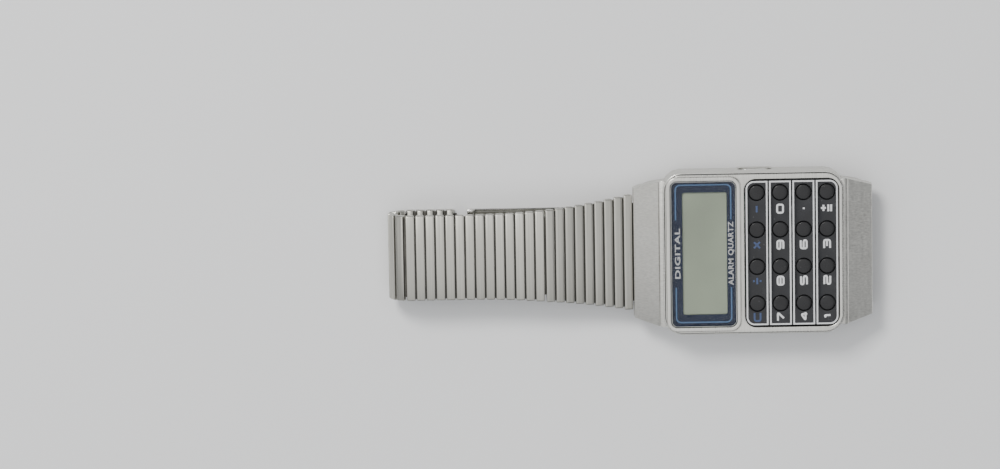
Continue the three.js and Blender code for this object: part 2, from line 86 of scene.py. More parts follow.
def colour(name, description, value):
    return FloatVectorProperty(
        name=name, description=description, default=value, size=3, subtype="COLOR", min=0.0, max=1.0
    )


class WatchSizes(bpy.types.PropertyGroup):
    rim: length("Rim", "How far the case stands outside the face plate", 0.5)
    corner: length("Corner", "Corner radius of the case", 4.2)
    strip_depth: length("Strip width", "Width of one row of the keypad", 4.66)
    strip_length: length("Strip length", "Length of one row of the keypad", 30.7)
    outline: length("Outline", "Width of the white line round each row", 0.36)
    legend_width: length("Legend width", "Width of a figure on the keypad", 1.72)
    legend_height: length("Legend height", "Height of a figure on the keypad", 1.24)
    stroke: length("Stroke", "Stroke width of the figures", 0.4)
    legend_shift: length("Legend shift", "Distance from a key's middle back to its legend", 2.85)
    pitch: length("Link pitch", "Distance between the bars of the bracelet", 2.09)
    gap: length("Link gap", "Dark gap between two bars", 0.3)
    narrow: length("Strap width", "Width of the parallel part of the bracelet", 18.0)
    wide: length("Shoulder width", "Width of the bracelet at the hoods", 25.3)
    taper: length("Taper", "Length over which the bracelet narrows", 35.0)


class WatchColours(bpy.types.PropertyGroup):
    steel: colour("Steel", "Satin stainless steel", (0.57, 0.565, 0.53))
    bar_steel: colour("Bar steel", "Steel of the bracelet's bars", (0.49, 0.483, 0.435))
    lacquer: colour("Lacquer", "Glossy charcoal of the keypad", (0.010, 0.0105, 0.0125))
    key: colour("Key", "Plastic of the keys", (0.006, 0.006, 0.007))
    navy: colour("Mask", "Navy print round the display", (0.006, 0.014, 0.040))
    line: colour("Blue line", "Light blue line on the mask", (0.13, 0.26, 0.50))
    white: colour("White print", "White of the outlines and figures", (0.80, 0.81, 0.82))
    blue: colour("Blue print", "Blue of the function legends", (0.045, 0.075, 0.175))
    cell: colour("Display cell", "Grey-green of the display", (0.41, 0.475, 0.35))
    floor: colour("Floor", "Pale floor", (0.86, 0.865, 0.87))


def sizes():
    return bpy.context.scene.watch_sizes


def colours():
    return bpy.context.scene.watch_colours


# ---- mesh helpers --------------------------------------------------------------------------------
def rounded_path(width, depth, radii, centre=(0.0, 0.0), steps=10):
    """Points round a rectangle, width along X and depth along Y, with radii for its four corners, from
    the corner at +X +Y anticlockwise."""
    points = []
    corners = [(1, 1, 0.0), (-1, 1, 0.5), (-1, -1, 1.0), (1, -1, 1.5)]
    for (sx, sy, turn), radius in zip(corners, radii):
        radius = max(radius, 1e-6)
        cx = centre[0] + sx * (width / 2 - radius)
        cy = centre[1] + sy * (depth / 2 - radius)
        for i in range(steps + 1):
            angle = math.pi * (turn + 0.5 * i / steps)
            points.append((cx + radius * math.cos(angle), cy + radius * math.sin(angle)))
    return points


def mesh_object(name, bm, smooth_angle=35):
    bmesh.ops.remove_doubles(bm, verts=bm.verts, dist=1e-7)
    bmesh.ops.dissolve_degenerate(bm, edges=bm.edges, dist=1e-8)
    bmesh.ops.recalc_face_normals(bm, faces=bm.faces)
    mesh = bpy.data.meshes.new(name)
    bm.to_mesh(mesh)
    bm.free()
    mesh.shade_smooth()
    mesh.set_sharp_from_angle(angle=math.radians(smooth_angle))
    made = bpy.data.objects.new(name, mesh)
    bpy.context.collection.objects.link(made)
    return made


def loft(name, loops, ring=False, smooth_angle=35):
    """A skin over loops of points. A ring joins the last loop to the first; otherwise the ends are capped."""
    bm = bmesh.new()
    rows = [[bm.verts.new(point) for point in loop] for loop in loops]
    pairs = list(zip(rows, rows[1:] + rows[:1])) if ring else list(zip(rows, rows[1:]))
    for low, high in pairs:
        for i in range(len(low)):
            j = (i + 1) % len(low)
            bm.faces.new((low[i], low[j], high[j], high[i]))
    if not ring:
        bm.faces.new(rows[0][::-1])
        bm.faces.new(rows[-1])
    return mesh_object(name, bm, smooth_angle)


def turned_rect(name, width, depth, radii, profile, centre=(0.0, 0.0), ring=True, steps=10):
    """A rounded rectangle swept with a profile of (inset, z) points."""
    loops = []
    for inset, z in profile:
        inner = [max(r - inset, 0.05 * MM) for r in radii]
        path = rounded_path(width - 2 * inset, depth - 2 * inset, inner, centre, steps)
        loops.append([(x, y, z) for x, y in path])
    return loft(name, loops, ring=ring)


def revolved(name, profile, centre, steps=40):
    """A solid of revolution about a vertical axis; the profile's (r, z) points start and end on it."""
    bm = bmesh.new()
    rows = []
    for r, z in profile:
        if r < 1e-9:
            rows.append([bm.verts.new((centre[0], centre[1], z))])
            continue
        angles = [2 * math.pi * i / steps for i in range(steps)]
        rows.append(
            [
                bm.verts.new(
                    (centre[0] + r * math.cos(a), centre[1] + r * math.sin(a), z)
                ) for a in angles
            ]
        )
    for low, high in zip(rows, rows[1:]):
        for i in range(steps):
            j = (i + 1) % steps
            corners = [
                low[i % len(low)], low[j % len(low)], high[j % len(high)], high[i % len(high)]
            ]
            unique = list(dict.fromkeys(corners))
            if len(unique) > 2:
                bm.faces.new(unique)
    return mesh_object(name, bm)


def across(name, section, half_at, matrix=None, smooth_angle=35):
    """A section of (x, z) points drawn across Y; half_at(x) gives half the width at each x."""
    loops = [[(x, side * half_at(x), z) for x, z in section] for side in (-1, 1)]
    made = loft(name, loops, smooth_angle=smooth_angle)
    if matrix:
        made.data.transform(matrix)
    return made


def evaluated(made):
    """The object's mesh with its modifiers applied, and the modifiers gone."""
    depsgraph = bpy.context.evaluated_depsgraph_get()
    mesh = bpy.data.meshes.new_from_object(made.evaluated_get(depsgraph), depsgraph=depsgraph)
    made.modifiers.clear()
    old = made.data
    made.data = mesh
    bpy.data.meshes.remove(old)
    return made


def flat_mesh(name, curve):
    """The plain mesh of a curve or a text."""
    flat = bpy.data.objects.new(name, curve)
    bpy.context.collection.objects.link(flat)
    depsgraph = bpy.context.evaluated_depsgraph_get()
    mesh = bpy.data.meshes.new_from_object(flat.evaluated_get(depsgraph), depsgraph=depsgraph)
    bpy.data.objects.remove(flat)
    return mesh


def softened(made, width, segments=2, angle=30, smooth_angle=40):
    """Rounds the sharp edges."""
    bevel = made.modifiers.new("edges", "BEVEL")
    bevel.width = width
    bevel.segments = segments
    bevel.limit_method = "ANGLE"
    bevel.angle_limit = math.radians(angle)
    bevel.harden_normals = False
    evaluated(made)
    made.data.shade_smooth()
    made.data.set_sharp_from_angle(angle=math.radians(smooth_angle))
    return made


def cut(made, *cutters, operation="DIFFERENCE"):
    for cutter in cutters:
        boolean = made.modifiers.new("cut", "BOOLEAN")
        boolean.operation = operation
        boolean.solver = "EXACT"
        boolean.object = cutter
    evaluated(made)
    for cutter in cutters:
        bpy.data.objects.remove(cutter)
    return made


def joined(name, pieces):
    """One object from several, all of whose meshes are already in place."""
    bm = bmesh.new()
    materials = []
    for piece in pieces:
        start = len(bm.faces)
        bm.from_mesh(piece.data)
        bm.faces.ensure_lookup_table()
        offset = len(materials)
        materials += list(piece.data.materials)
        for face in bm.faces[start:]:
            face.material_index += offset
    mesh = bpy.data.meshes.new(name)
    bm.to_mesh(mesh)
    bm.free()
    for material in materials:
        mesh.materials.append(material)
    for piece in pieces:
        bpy.data.objects.remove(piece)
    made = bpy.data.objects.new(name, mesh)
    bpy.context.collection.objects.link(made)
    mesh.set_sharp_from_angle(angle=math.radians(35))
    return made


def dressed(made, material, body, slot, *nodes):
    """Gives a finished piece its material and its body, and hides the nodes that it stands for. The slot is
    not used.
    """
    if material:
        made.data.materials.clear()
        made.data.materials.append(material)
    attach(made, body)
    if nodes:
        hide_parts(*nodes)
    return made


# ---- shader node groups --------------------------------------------------------------------------
def new_group(name, inputs, outputs):
    group = bpy.data.node_groups.new(name, "ShaderNodeTree")
    for label, kind, value in inputs:
        socket = group.interface.new_socket(label, in_out="INPUT", socket_type=kind)
        if value is not None:
            socket.default_value = value
    for label, kind in outputs:
        group.interface.new_socket(label, in_out="OUTPUT", socket_type=kind)
    nodes = group.nodes
    return group, nodes.new("NodeGroupInput"), nodes.new("NodeGroupOutput")


def node(tree, kind, links=None, **settings):
    """A node with its settings, and its inputs from values or from sockets."""
    made = tree.nodes.new(kind)
    for key, value in settings.items():
        setattr(made, key, value)
    for key, value in (links or {}).items():
        if isinstance(value, bpy.types.NodeSocket):
            tree.links.new(value, made.inputs[key])
        else:
            made.inputs[key].default_value = value
    return made


def grain_group():
    """Fine parallel scratches: noise on object coordinates, drawn out along the brushing."""
    group, source, out = new_group(
        "satin_grain",
        [
            ("Vector", "NodeSocketVector", None),
            ("Stretch", "NodeSocketVector", (40.0, 4000.0, 4000.0)),
        ],
        [("Grain", "NodeSocketFloat"), ("Cloud", "NodeSocketFloat")],
    )
    ends = {0: source.outputs["Vector"], 1: source.outputs["Stretch"]}
    scaled = node(group, "ShaderNodeVectorMath", ends, operation="MULTIPLY")
    fine = node(
        group, "ShaderNodeTexNoise", {"Vector": scaled.outputs[0], "Scale": 1.0, "Detail": 4.0}
    )
    cloud = node(
        group, "ShaderNodeTexNoise", {
            "Vector": source.outputs["Vector"], "Scale": 160.0, "Detail": 3.0
        }
    )
    group.links.new(fine.outputs["Fac"], out.inputs["Grain"])
    group.links.new(cloud.outputs["Fac"], out.inputs["Cloud"])
    return group


def edge_group():
    """A mask of the sharp edges, from how far the surface turns within a small radius: a painted highlight on
    the steel, wear on the lacquer.
    """
    group, source, out = new_group(
        "edge_wear_and_highlight",
        [
            ("Radius", "NodeSocketFloat", 0.00012),
            ("Gain", "NodeSocketFloat", 6.0),
            ("Grain", "NodeSocketFloat", 0.5),
        ],
        [("Edge", "NodeSocketFloat")],
    )
    bevel = node(group, "ShaderNodeBevel", {"Radius": source.outputs["Radius"]}, samples=4)
    surface = node(group, "ShaderNodeNewGeometry")
    turn = node(
        group, "ShaderNodeVectorMath", {
            0: bevel.outputs[0], 1: surface.outputs["Normal"]
        }, operation="DOT_PRODUCT"
    )
    away = node(group, "ShaderNodeMath", {0: 1.0, 1: turn.outputs["Value"]}, operation="SUBTRACT")
    gained = node(
        group,
        "ShaderNodeMath",
        {0: away.outputs[0], 1: source.outputs["Gain"]},
        operation="MULTIPLY",
    )
    broken = node(group, "ShaderNodeMath", {0: source.outputs["Grain"], 1: 0.6}, operation="ADD")
    mask = node(
        group, "ShaderNodeMath", {
            0: gained.outputs[0], 1: broken.outputs[0]
        }, operation="MULTIPLY", use_clamp=True
    )
    group.links.new(mask.outputs[0], out.inputs["Edge"])
    return group


def dust_group():
    """Sparse specks and fine hairline marks."""
    group, source, out = new_group(
        "dust",
        [("Vector", "NodeSocketVector", None), ("Amount", "NodeSocketFloat", 0.5)],
        [("Specks", "NodeSocketFloat"), ("Haze", "NodeSocketFloat")],
    )
    cells = node(
        group, "ShaderNodeTexVoronoi", {"Vector": source.outputs["Vector"], "Scale": 900.0}
    )
    near = node(
        group, "ShaderNodeMath", {0: cells.outputs["Distance"], 1: 0.14}, operation="LESS_THAN"
    )
    chance = node(group, "ShaderNodeSeparateColor", {0: cells.outputs["Color"]})
    kept = node(
        group,
        "ShaderNodeMath",
        {0: chance.outputs[0], 1: source.outputs["Amount"]},
        operation="LESS_THAN",
    )
    specks = node(
        group, "ShaderNodeMath", {0: near.outputs[0], 1: kept.outputs[0]}, operation="MULTIPLY"
    )
    haze = node(
        group,
        "ShaderNodeTexNoise",
        {"Vector": source.outputs["Vector"], "Scale": 420.0, "Detail": 6.0},
    )
    group.links.new(specks.outputs[0], out.inputs["Specks"])
    group.links.new(haze.outputs["Fac"], out.inputs["Haze"])
    return group


GROUPS = {}


def placed_group(tree, name, links):
    if name not in GROUPS:
        GROUPS[name] = {
            "satin_grain": grain_group, "edge_wear_and_highlight": edge_group, "dust": dust_group
        }[name]()
    return node(tree, "ShaderNodeGroup", links, node_tree=GROUPS[name])


def blank_material(name):
    material = bpy.data.materials.new(name)
    material.use_nodes = True
    tree = material.node_tree
    shader = tree.nodes["Principled BSDF"]
    coords = tree.nodes.new("ShaderNodeTexCoord")
    return material, tree, shader, coords.outputs["Object"]


def remapped(tree, value, low, high, from_low=0.3, from_high=0.7):
    made = node(
        tree,
        "ShaderNodeMapRange",
        {
            "Value": value,
            "From Min": from_low,
            "From Max": from_high,
            "To Min": low,
            "To Max": high,
        },
    )
    return made.outputs["Result"]


def mixed(tree, factor, first, second, blend="MIX"):
    made = tree.nodes.new("ShaderNodeMix")
    made.data_type = "RGBA"
    made.blend_type = blend
    for index, value in ((0, factor), (6, first), (7, second)):
        if isinstance(value, bpy.types.NodeSocket):
            tree.links.new(value, made.inputs[index])
        else:
            made.inputs[index].default_value = value if index == 0 else (*value, 1.0)
    return made.outputs[2]


def bumped(tree, shader, height, strength, distance):
    bump = node(
        tree, "ShaderNodeBump", {"Height": height, "Strength": strength, "Distance": distance}
    )
    tree.links.new(bump.outputs["Normal"], shader.inputs["Normal"])


def satin_steel(name, tint, stretch, rough=(0.26, 0.42), edge_gain=8.0, tone=False, bump=0.25):
    """Brushed stainless steel: directional grain in colour, roughness and height, a painted highlight on the
    sharp edges and painted shade in the crevices.
    """
    material, tree, shader, where = blank_material(name)
    shader.inputs["Metallic"].default_value = 1.0
    grain = placed_group(tree, "satin_grain", {"Vector": where, "Stretch": stretch})
    edge = placed_group(tree, "edge_wear_and_highlight", {"Gain": edge_gain, "Grain": grain.outputs["Grain"]})
    dark = [c * 0.86 for c in tint]
    light = [min(1.0, c * 1.12) for c in tint]
    base = mixed(tree, remapped(tree, grain.outputs["Grain"], 0.0, 1.0), dark, light)
    cloudy = mixed(
        tree, remapped(tree, grain.outputs["Cloud"], 0.0, 0.22), base, (0.42, 0.40, 0.36)
    )
    if tone:
        attribute = node(tree, "ShaderNodeAttribute", attribute_name="tone")
        value = node(
            tree, "ShaderNodeCombineColor", {
                0: attribute.outputs["Fac"],
                1: attribute.outputs["Fac"],
                2: attribute.outputs["Fac"],
            }
        )
        cloudy = mixed(tree, 1.0, cloudy, value.outputs[0], "MULTIPLY")
    # Painted shade: the crevices found by ambient occlusion darken towards near black, standing partly for
    # grime too.
    shelter = node(tree, "ShaderNodeAmbientOcclusion", {"Distance": 0.0006}, samples=6)
    crevice_shaded = mixed(
        tree,
        remapped(tree, shelter.outputs["AO"], 0.8, 0.0, 0.2, 0.82),
        cloudy,
        (0.05, 0.047, 0.042),
    )
    # Painted highlight: the sharp edges are lightened towards near white.
    edge_highlighted = mixed(tree, edge.outputs["Edge"], crevice_shaded, (0.93, 0.93, 0.91))
    tree.links.new(edge_highlighted, shader.inputs["Base Color"])
    roughness = remapped(tree, grain.outputs["Grain"], rough[0], rough[1])
    polished = node(
        tree, "ShaderNodeMix", {0: edge.outputs["Edge"], 2: roughness, 3: 0.12}, data_type="FLOAT"
    )
    tree.links.new(polished.outputs[0], shader.inputs["Roughness"])
    bumped(tree, shader, grain.outputs["Grain"], bump, 0.00002)
    return material


def lacquer(name, tint, rough=(0.16, 0.30), coat=0.12, specks=0.25, fleck=0.06):
    """Glossy lacquer or plastic with a haze of handling, fine flecks and orange peel."""
    material, tree, shader, where = blank_material(name)
    shader.inputs["Coat Weight"].default_value = coat
    shader.inputs["Coat Roughness"].default_value = 0.08
    shader.inputs["Specular IOR Level"].default_value = 0.32
    dust = placed_group(tree, "dust", {"Vector": where, "Amount": specks})
    edge = placed_group(tree, "edge_wear_and_highlight", {"Gain": 3.0, "Radius": 0.00008})
    lighter = [min(1.0, c * 1.5 + 0.004) for c in tint]
    hazy = mixed(tree, remapped(tree, dust.outputs["Haze"], 0.0, 1.0), tint, lighter)
    flecked = mixed(
        tree, remapped(tree, dust.outputs["Specks"], 0.0, fleck, 0.0, 1.0), hazy, (0.5, 0.5, 0.5)
    )
    worn = mixed(tree, edge.outputs["Edge"], flecked, [min(1.0, c * 2.2 + 0.03) for c in tint])
    tree.links.new(worn, shader.inputs["Base Color"])
    tree.links.new(
        remapped(tree, dust.outputs["Haze"], rough[0], rough[1]), shader.inputs["Roughness"]
    )
    peel = node(tree, "ShaderNodeTexNoise", {"Vector": where, "Scale": 1500.0, "Detail": 2.0})
    bumped(tree, shader, peel.outputs["Fac"], 0.12, 0.00003)
    return material


def printed(name, tint, rough=0.45):
    """Screen-printed ink: slightly uneven cover and a dry surface."""
    material, tree, shader, where = blank_material(name)
    cover = node(tree, "ShaderNodeTexNoise", {"Vector": where, "Scale": 5200.0, "Detail": 3.0})
    thin = [c * 0.8 for c in tint]
    tree.links.new(
        mixed(tree, remapped(tree, cover.outputs["Fac"], 0.0, 1.0), thin, tint),
        shader.inputs["Base Color"],
    )
    tree.links.new(
        remapped(tree, cover.outputs["Fac"], rough - 0.08, rough + 0.12), shader.inputs["Roughness"]
    )
    bumped(tree, shader, cover.outputs["Fac"], 0.2, 0.00001)
    return material


def moulded(name, tint, rough=(0.5, 0.7), scale=2600.0):
    """Matt moulded plastic or rubber with a spark-eroded texture."""
    material, tree, shader, where = blank_material(name)
    pores = node(tree, "ShaderNodeTexNoise", {"Vector": where, "Scale": scale, "Detail": 4.0})
    dust = placed_group(tree, "dust", {"Vector": where, "Amount": 0.15})
    light = [min(1.0, c * 1.35 + 0.005) for c in tint]
    tree.links.new(
        mixed(tree, remapped(tree, dust.outputs["Haze"], 0.0, 1.0), tint, light),
        shader.inputs["Base Color"],
    )
    tree.links.new(
        remapped(tree, pores.outputs["Fac"], rough[0], rough[1]), shader.inputs["Roughness"]
    )
    bumped(tree, shader, pores.outputs["Fac"], 0.3, 0.00003)
    return material


def window_glass(name):
    """Thin clear window: nearly transparent face on, more mirror-like at a slant."""
    material, tree, shader, where = blank_material(name)
    material.surface_render_method = "BLENDED"
    slant = node(tree, "ShaderNodeLayerWeight", {"Blend": 0.35})
    dust = placed_group(tree, "dust", {"Vector": where, "Amount": 0.2})
    tree.links.new(
        mixed(
            tree,
            remapped(tree, dust.outputs["Haze"], 0.0, 1.0),
            (0.012, 0.014, 0.018),
            (0.03, 0.034, 0.04),
        ),
        shader.inputs["Base Color"],
    )
    tree.links.new(remapped(tree, dust.outputs["Haze"], 0.02, 0.07), shader.inputs["Roughness"])
    tree.links.new(
        remapped(tree, slant.outputs["Fresnel"], 0.06, 0.5, 0.0, 1.0), shader.inputs["Alpha"]
    )
    return material


def display_cell(name, tint):
    """A blank liquid crystal cell: fine polariser grain and a soft unevenness of the grey-green."""
    material, tree, shader, where = blank_material(name)
    broad = node(tree, "ShaderNodeTexNoise", {"Vector": where, "Scale": 90.0, "Detail": 2.0})
    fine = node(tree, "ShaderNodeTexNoise", {"Vector": where, "Scale": 7000.0, "Detail": 2.0})
    base = mixed(
        tree, remapped(tree, broad.outputs["Fac"], 0.0, 1.0), [c * 0.9 for c in tint], [
            c * 1.12 for c in tint
        ]
    )
    grained = mixed(tree, remapped(tree, fine.outputs["Fac"], 0.0, 0.12), base, (0.4, 0.42, 0.38))
    tree.links.new(grained, shader.inputs["Base Color"])
    tree.links.new(remapped(tree, fine.outputs["Fac"], 0.3, 0.42), shader.inputs["Roughness"])
    bumped(tree, shader, fine.outputs["Fac"], 0.1, 0.00001)
    return material


def floor_material(name, tint):
    material, tree, shader, where = blank_material(name)
    cloud = node(tree, "ShaderNodeTexNoise", {"Vector": where, "Scale": 9.0, "Detail": 3.0})
    base = mixed(
        tree, remapped(tree, cloud.outputs["Fac"], 0.0, 1.0), [c * 0.97 for c in tint], tint
    )
    tree.links.new(base, shader.inputs["Base Color"])
    shader.inputs["Roughness"].default_value = 0.8
    return material


MATERIALS = {}


def material_of(name):
    return MATERIALS[name]


def make_materials():
    c = colours()
    along_y = (3500.0, 60.0, 3500.0)
    along_x = (60.0, 3500.0, 3500.0)
    steel, bar = tuple(c.steel), tuple(c.bar_steel)
    MATERIALS.update(
        case=satin_steel("case_steel", steel, along_x),
        hood=satin_steel("hood_steel", steel, along_x, rough=(0.32, 0.48)),
        face=satin_steel("face_steel", [v * 1.04 for v in steel], along_y, rough=(0.24, 0.38)),
        bars=satin_steel("bar_steel", bar, along_y, rough=(0.30, 0.46), tone=True, bump=0.3),
        # The core steel is darkened to about a tenth of the bars' tint: painted shade for the gaps between
        # the bars.
        core=satin_steel(
            "core_steel", [v * 0.12 for v in bar], along_y, rough=(0.5, 0.7), edge_gain=0.3
        ),
        back=satin_steel("back_steel", [v * 0.95 for v in steel], along_y),
        small=satin_steel("small_steel", steel, along_x, rough=(0.16, 0.3)),
        lacquer=lacquer("keypad_lacquer", tuple(c.lacquer)),
        bed=lacquer("keypad_bed", (0.008, 0.008, 0.009), rough=(0.3, 0.45), coat=0.1),
        key=lacquer("key_plastic", tuple(c.key), rough=(0.22, 0.34), coat=0.1),
        navy=lacquer("mask_print", tuple(c.navy), rough=(0.25, 0.4), coat=0.2, fleck=0.03),
        line=printed("line_print", tuple(c.line)),
        white=printed("white_print", tuple(c.white)),
        blue=printed("blue_print", tuple(c.blue)),
        cell=display_cell("display_cell", tuple(c.cell)),
        glass=window_glass("window_glass"),
        rubber=moulded("elastomer", (0.16, 0.16, 0.155)),
        plastic=moulded("module_plastic", (0.03, 0.03, 0.032)),
        board=lacquer("board_resist", (0.02, 0.10, 0.04), rough=(0.3, 0.45)),
        brass=satin_steel("piezo_brass", (0.55, 0.38, 0.14), along_x),
        floor=floor_material("floor_paint", tuple(c.floor)),
    )


# ---- where things are, from the frame ------------------------------------------------------------
def pin(joint):
    return Vector(JOINTS[joint]["pos_m"])


def between(low, high):
    """The middle of a box seen from above."""
    return (low.x + high.x) / 2, (low.y + high.y) / 2


def middle(node_name):
    low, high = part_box(node_name)
    return (low + high) / 2


def case_outline():
    """The case's width, depth and centre, from the face plate that it stands round."""
    low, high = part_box("face_plate")
    rim = sizes().rim
    centre = between(low, high)
    return high.x - low.x + 2 * rim, high.y - low.y + 2 * rim, centre


# ---- the case ------------------------------------------------------------------------------------
def stadium_cutter(name, centre, width, height, y0, y1):
    """A round-ended bar along Y, for cutting the pusher's bore and dish."""
    path = rounded_path(width, height, [height / 2 * 0.999] * 4, (0, 0), 8)
    loops = [[(centre.x + x, y, centre.z + z) for x, z in path] for y in (y0, y1)]
    return loft(name, loops)


def make_case_shell():
    width, depth, centre = case_outline()
    s = sizes()
    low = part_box("case_body")[0].z
    face_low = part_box("face_plate")[0].z
    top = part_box("case_body")[1].z - 0.05 * MM
    seat = s.rim - 0.15 * MM
    profile = [
        (1.6 * MM, low),
        (0.75 * MM, low),
        (0.42 * MM, low + 0.12 * MM),
        (0.22 * MM, low + 0.4 * MM),
        (0.18 * MM, low + 1.0 * MM),
        (0.24 * MM, low + 1.15 * MM),
        (0.62 * MM, low + 1.25 * MM),
        (0.66 * MM, low + 1.75 * MM),
        (0.24 * MM, low + 1.95 * MM),
        (0.02 * MM, low + 2.1 * MM),
        (0.0, low + 2.3 * MM),
        (0.0, top - 1.2 * MM),
        (0.04 * MM, top - 0.75 * MM),
        (0.13 * MM, top - 0.16 * MM),
        (0.2 * MM, top - 0.03 * MM),
        (0.26 * MM, top),
        (seat - 0.02 * MM, top),
        (seat, top - 0.03 * MM),
        (seat, face_low - 0.15 * MM),
        (1.5 * MM, face_low - 0.15 * MM),
        (1.5 * MM, low + 0.95 * MM),
        (1.7 * MM, low + 0.95 * MM),
        (1.7 * MM, low),
    ]
    shell = turned_rect("case_shell", width, depth, [s.corner] * 4, profile, centre, steps=16)
    for side, name in ((1, "pusher_upper"), (-1, "pusher_lower")):
        middle_of = middle(name)
        edge = centre[1] + side * depth / 2
        guard = turned_rect(
            "pusher_guard",
            7.4 * MM,
            1.0 * MM,
            [0.25 * MM] * 4,
            [(0.0, low + 0.5 * MM), (0.0, low + 2.6 * MM)],
            (middle_of.x, edge - side * 0.5 * MM),
            ring=False,
            steps=4,
        )
        cut(shell, guard, operation="UNION")
        ends = sorted((edge - side * 0.6 * MM, edge + side * 1 * MM))
        dish = stadium_cutter("dish", middle_of, 7.2 * MM, 3.0 * MM, *ends)
        ends = sorted((edge - side * 3 * MM, edge + side * 1 * MM))
        bore = stadium_cutter("bore", middle_of, 5.5 * MM, 1.9 * MM, *ends)
        cut(shell, dish, bore)
    shell.data.shade_smooth()
    shell.data.set_sharp_from_angle(angle=math.radians(28))
    return dressed(shell, material_of("case"), "head", "case_steel", "case_body")


def hood_half(x_from_case, reach):
    """Half the hood's width at a distance from the case's end wall."""
    root, tip = 15.6 * MM, 13.8 * MM
    return root + (tip - root) * x_from_case / reach


def make_hood(side):
    """A sloping shoulder between the case and the bracelet, with the pocket for its first link."""
    width, _, centre = case_outline()
    low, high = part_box("case_body")
    wall = centre[0] + side * width / 2
    tip = high.x if side > 0 else low.x
    reach = abs(tip - wall)
    hinge_pin = pin("right_hood_hinge" if side > 0 else "left_hood_hinge")
    radius = 1.15 * MM
    arc = []
    for step in range(9):
        angle = math.radians(205 + step * 16)
        arc.append(
            (hinge_pin.x + side * radius * math.cos(angle), hinge_pin.z + radius * math.sin(angle))
        )
    under = low.z + 1.7 * MM
    section = [
        (wall - side * 0.9 * MM, under),
        (wall + side * 2.8 * MM, under),
        *arc,
        (tip, hinge_pin.z - 0.2 * MM),
        (tip, low.z + 5.05 * MM),
        (wall + side * 0.75 * MM, low.z + 7.2 * MM),
        (wall + side * 0.65 * MM, low.z + 7.56 * MM),
        (wall, low.z + 7.75 * MM),
        (wall - side * 0.9 * MM, low.z + 7.75 * MM),
    ]
    made = across("hood", section, lambda x: hood_half(abs(x - wall), reach), smooth_angle=25)
    half = 10.8 * MM
    pocket_section = [
        (hinge_pin.x - side * 1.3 * MM, under - MM),
        (tip + side * MM, under - MM),
        (tip + side * MM, hinge_pin.z + radius),
        (hinge_pin.x, hinge_pin.z + radius),
        (hinge_pin.x - side * 0.8 * MM, hinge_pin.z + 0.8 * MM),
        (hinge_pin.x - side * 1.3 * MM, hinge_pin.z),
    ]
    cut(made, across("pocket", pocket_section, lambda x: half))
    softened(made, 0.2 * MM, segments=3, angle=28, smooth_angle=30)
    made.name = "hood_right" if side > 0 else "hood_left"
    return dressed(made, material_of("hood"), "head", "case_steel", "case_body")


def make_face_plate():
    """The flat plate round the window and the keypad: a filled outline with two holes and soft edges."""
    low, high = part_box("face_plate")
    glass_low, glass_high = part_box("display_crystal")
    pad_low, pad_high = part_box("keypad_panel")
    curve = bpy.data.curves.new("face_plate", "CURVE")
    curve.dimensions = "2D"
    curve.fill_mode = "BOTH"
    bevel = 0.16 * MM
    curve.extrude = (high.z - low.z) / 2 - bevel
    curve.bevel_depth = bevel
    curve.bevel_resolution = 3
    curve.offset = -bevel

    def outline(a, b, radius, margin):
        centre = between(a, b)
        path = rounded_path(
            b.x - a.x + 2 * margin, b.y - a.y + 2 * margin, [radius] * 4, centre, 12
        )
        spline = curve.splines.new("POLY")
        spline.points.add(len(path) - 1)
        for point, (x, y) in zip(spline.points, path):
            point.co = (x, y, 0, 1)
        spline.use_cyclic_u = True

    outline(low, high, 3.6 * MM, 0)
    outline(glass_low, glass_high, 1.6 * MM, 0.15 * MM)
    outline(pad_low, pad_high, 2.4 * MM, 0.15 * MM)
    mesh = flat_mesh("face_plate_curve", curve)
    mesh.transform(Matrix.Translation((0, 0, (low.z + high.z) / 2)))
    bm = bmesh.new()
    bm.from_mesh(mesh)
    made = mesh_object("face_surround", bm, 40)
    return dressed(made, material_of("face"), "head", "face_steel", "face_plate")


def make_groove_shade():
    """The dark ring in the groove between the case's rim and the face plate: painted shade of the groove."""
    low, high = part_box("face_plate")
    groove = 0.17 * MM
    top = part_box("case_body")[1].z - 0.22 * MM
    centre = between(low, high)
    profile = [(0.0, low.z), (0.0, top), (groove + 0.05 * MM, top), (groove + 0.05 * MM, low.z)]
    width, depth = high.x - low.x + 2 * groove, high.y - low.y + 2 * groove
    made = turned_rect("rim_seal", width, depth, [3.75 * MM] * 4, profile, centre, steps=12)
    # The ring takes the black keypad lacquer as painted shade for the groove.
    return dressed(made, material_of("bed"), "head", "rubber")


def make_display_frame():
    """The raised frame round the window, with a sloping inner wall."""
    low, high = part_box("display_frame")
    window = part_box("display_crystal")[0]
    glass_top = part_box("display_crystal")[1].z
    rim = window.x - low.x + 0.05 * MM
    top = high.z
    profile = [
        (0.0, low.z),
        (0.0, top - 0.22 * MM),
        (0.05 * MM, top - 0.1 * MM),
        (0.16 * MM, top - 0.02 * MM),
        (0.26 * MM, top),
        (rim - 0.42 * MM, top),
        (rim - 0.3 * MM, top - 0.04 * MM),
        (rim - 0.02 * MM, glass_top + 0.04 * MM),
        (rim - 0.02 * MM, low.z),
    ]
    centre = between(low, high)
    made = turned_rect(
        "window_frame", high.x - low.x, high.y - low.y, [2.3 * MM] * 4, profile, centre, steps=12
    )
    return dressed(made, material_of("face"), "head", "face_steel", "display_frame")


# ---- the window, its mask and the display --------------------------------------------------------
def make_window():
    low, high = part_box("display_crystal")
    centre = between(low, high)
    chamfer = 0.12 * MM
    profile = [
        (chamfer, low.z),
        (0.0, low.z + chamfer),
        (0.0, high.z - chamfer),
        (chamfer, high.z),
    ]
    made = turned_rect(
        "window", high.x - low.x, high.y - low.y, [1.5 * MM] * 4, profile, centre, ring=False, steps=10
    )
    return dressed(made, material_of("glass"), "head", "crystal_glass", "display_crystal")


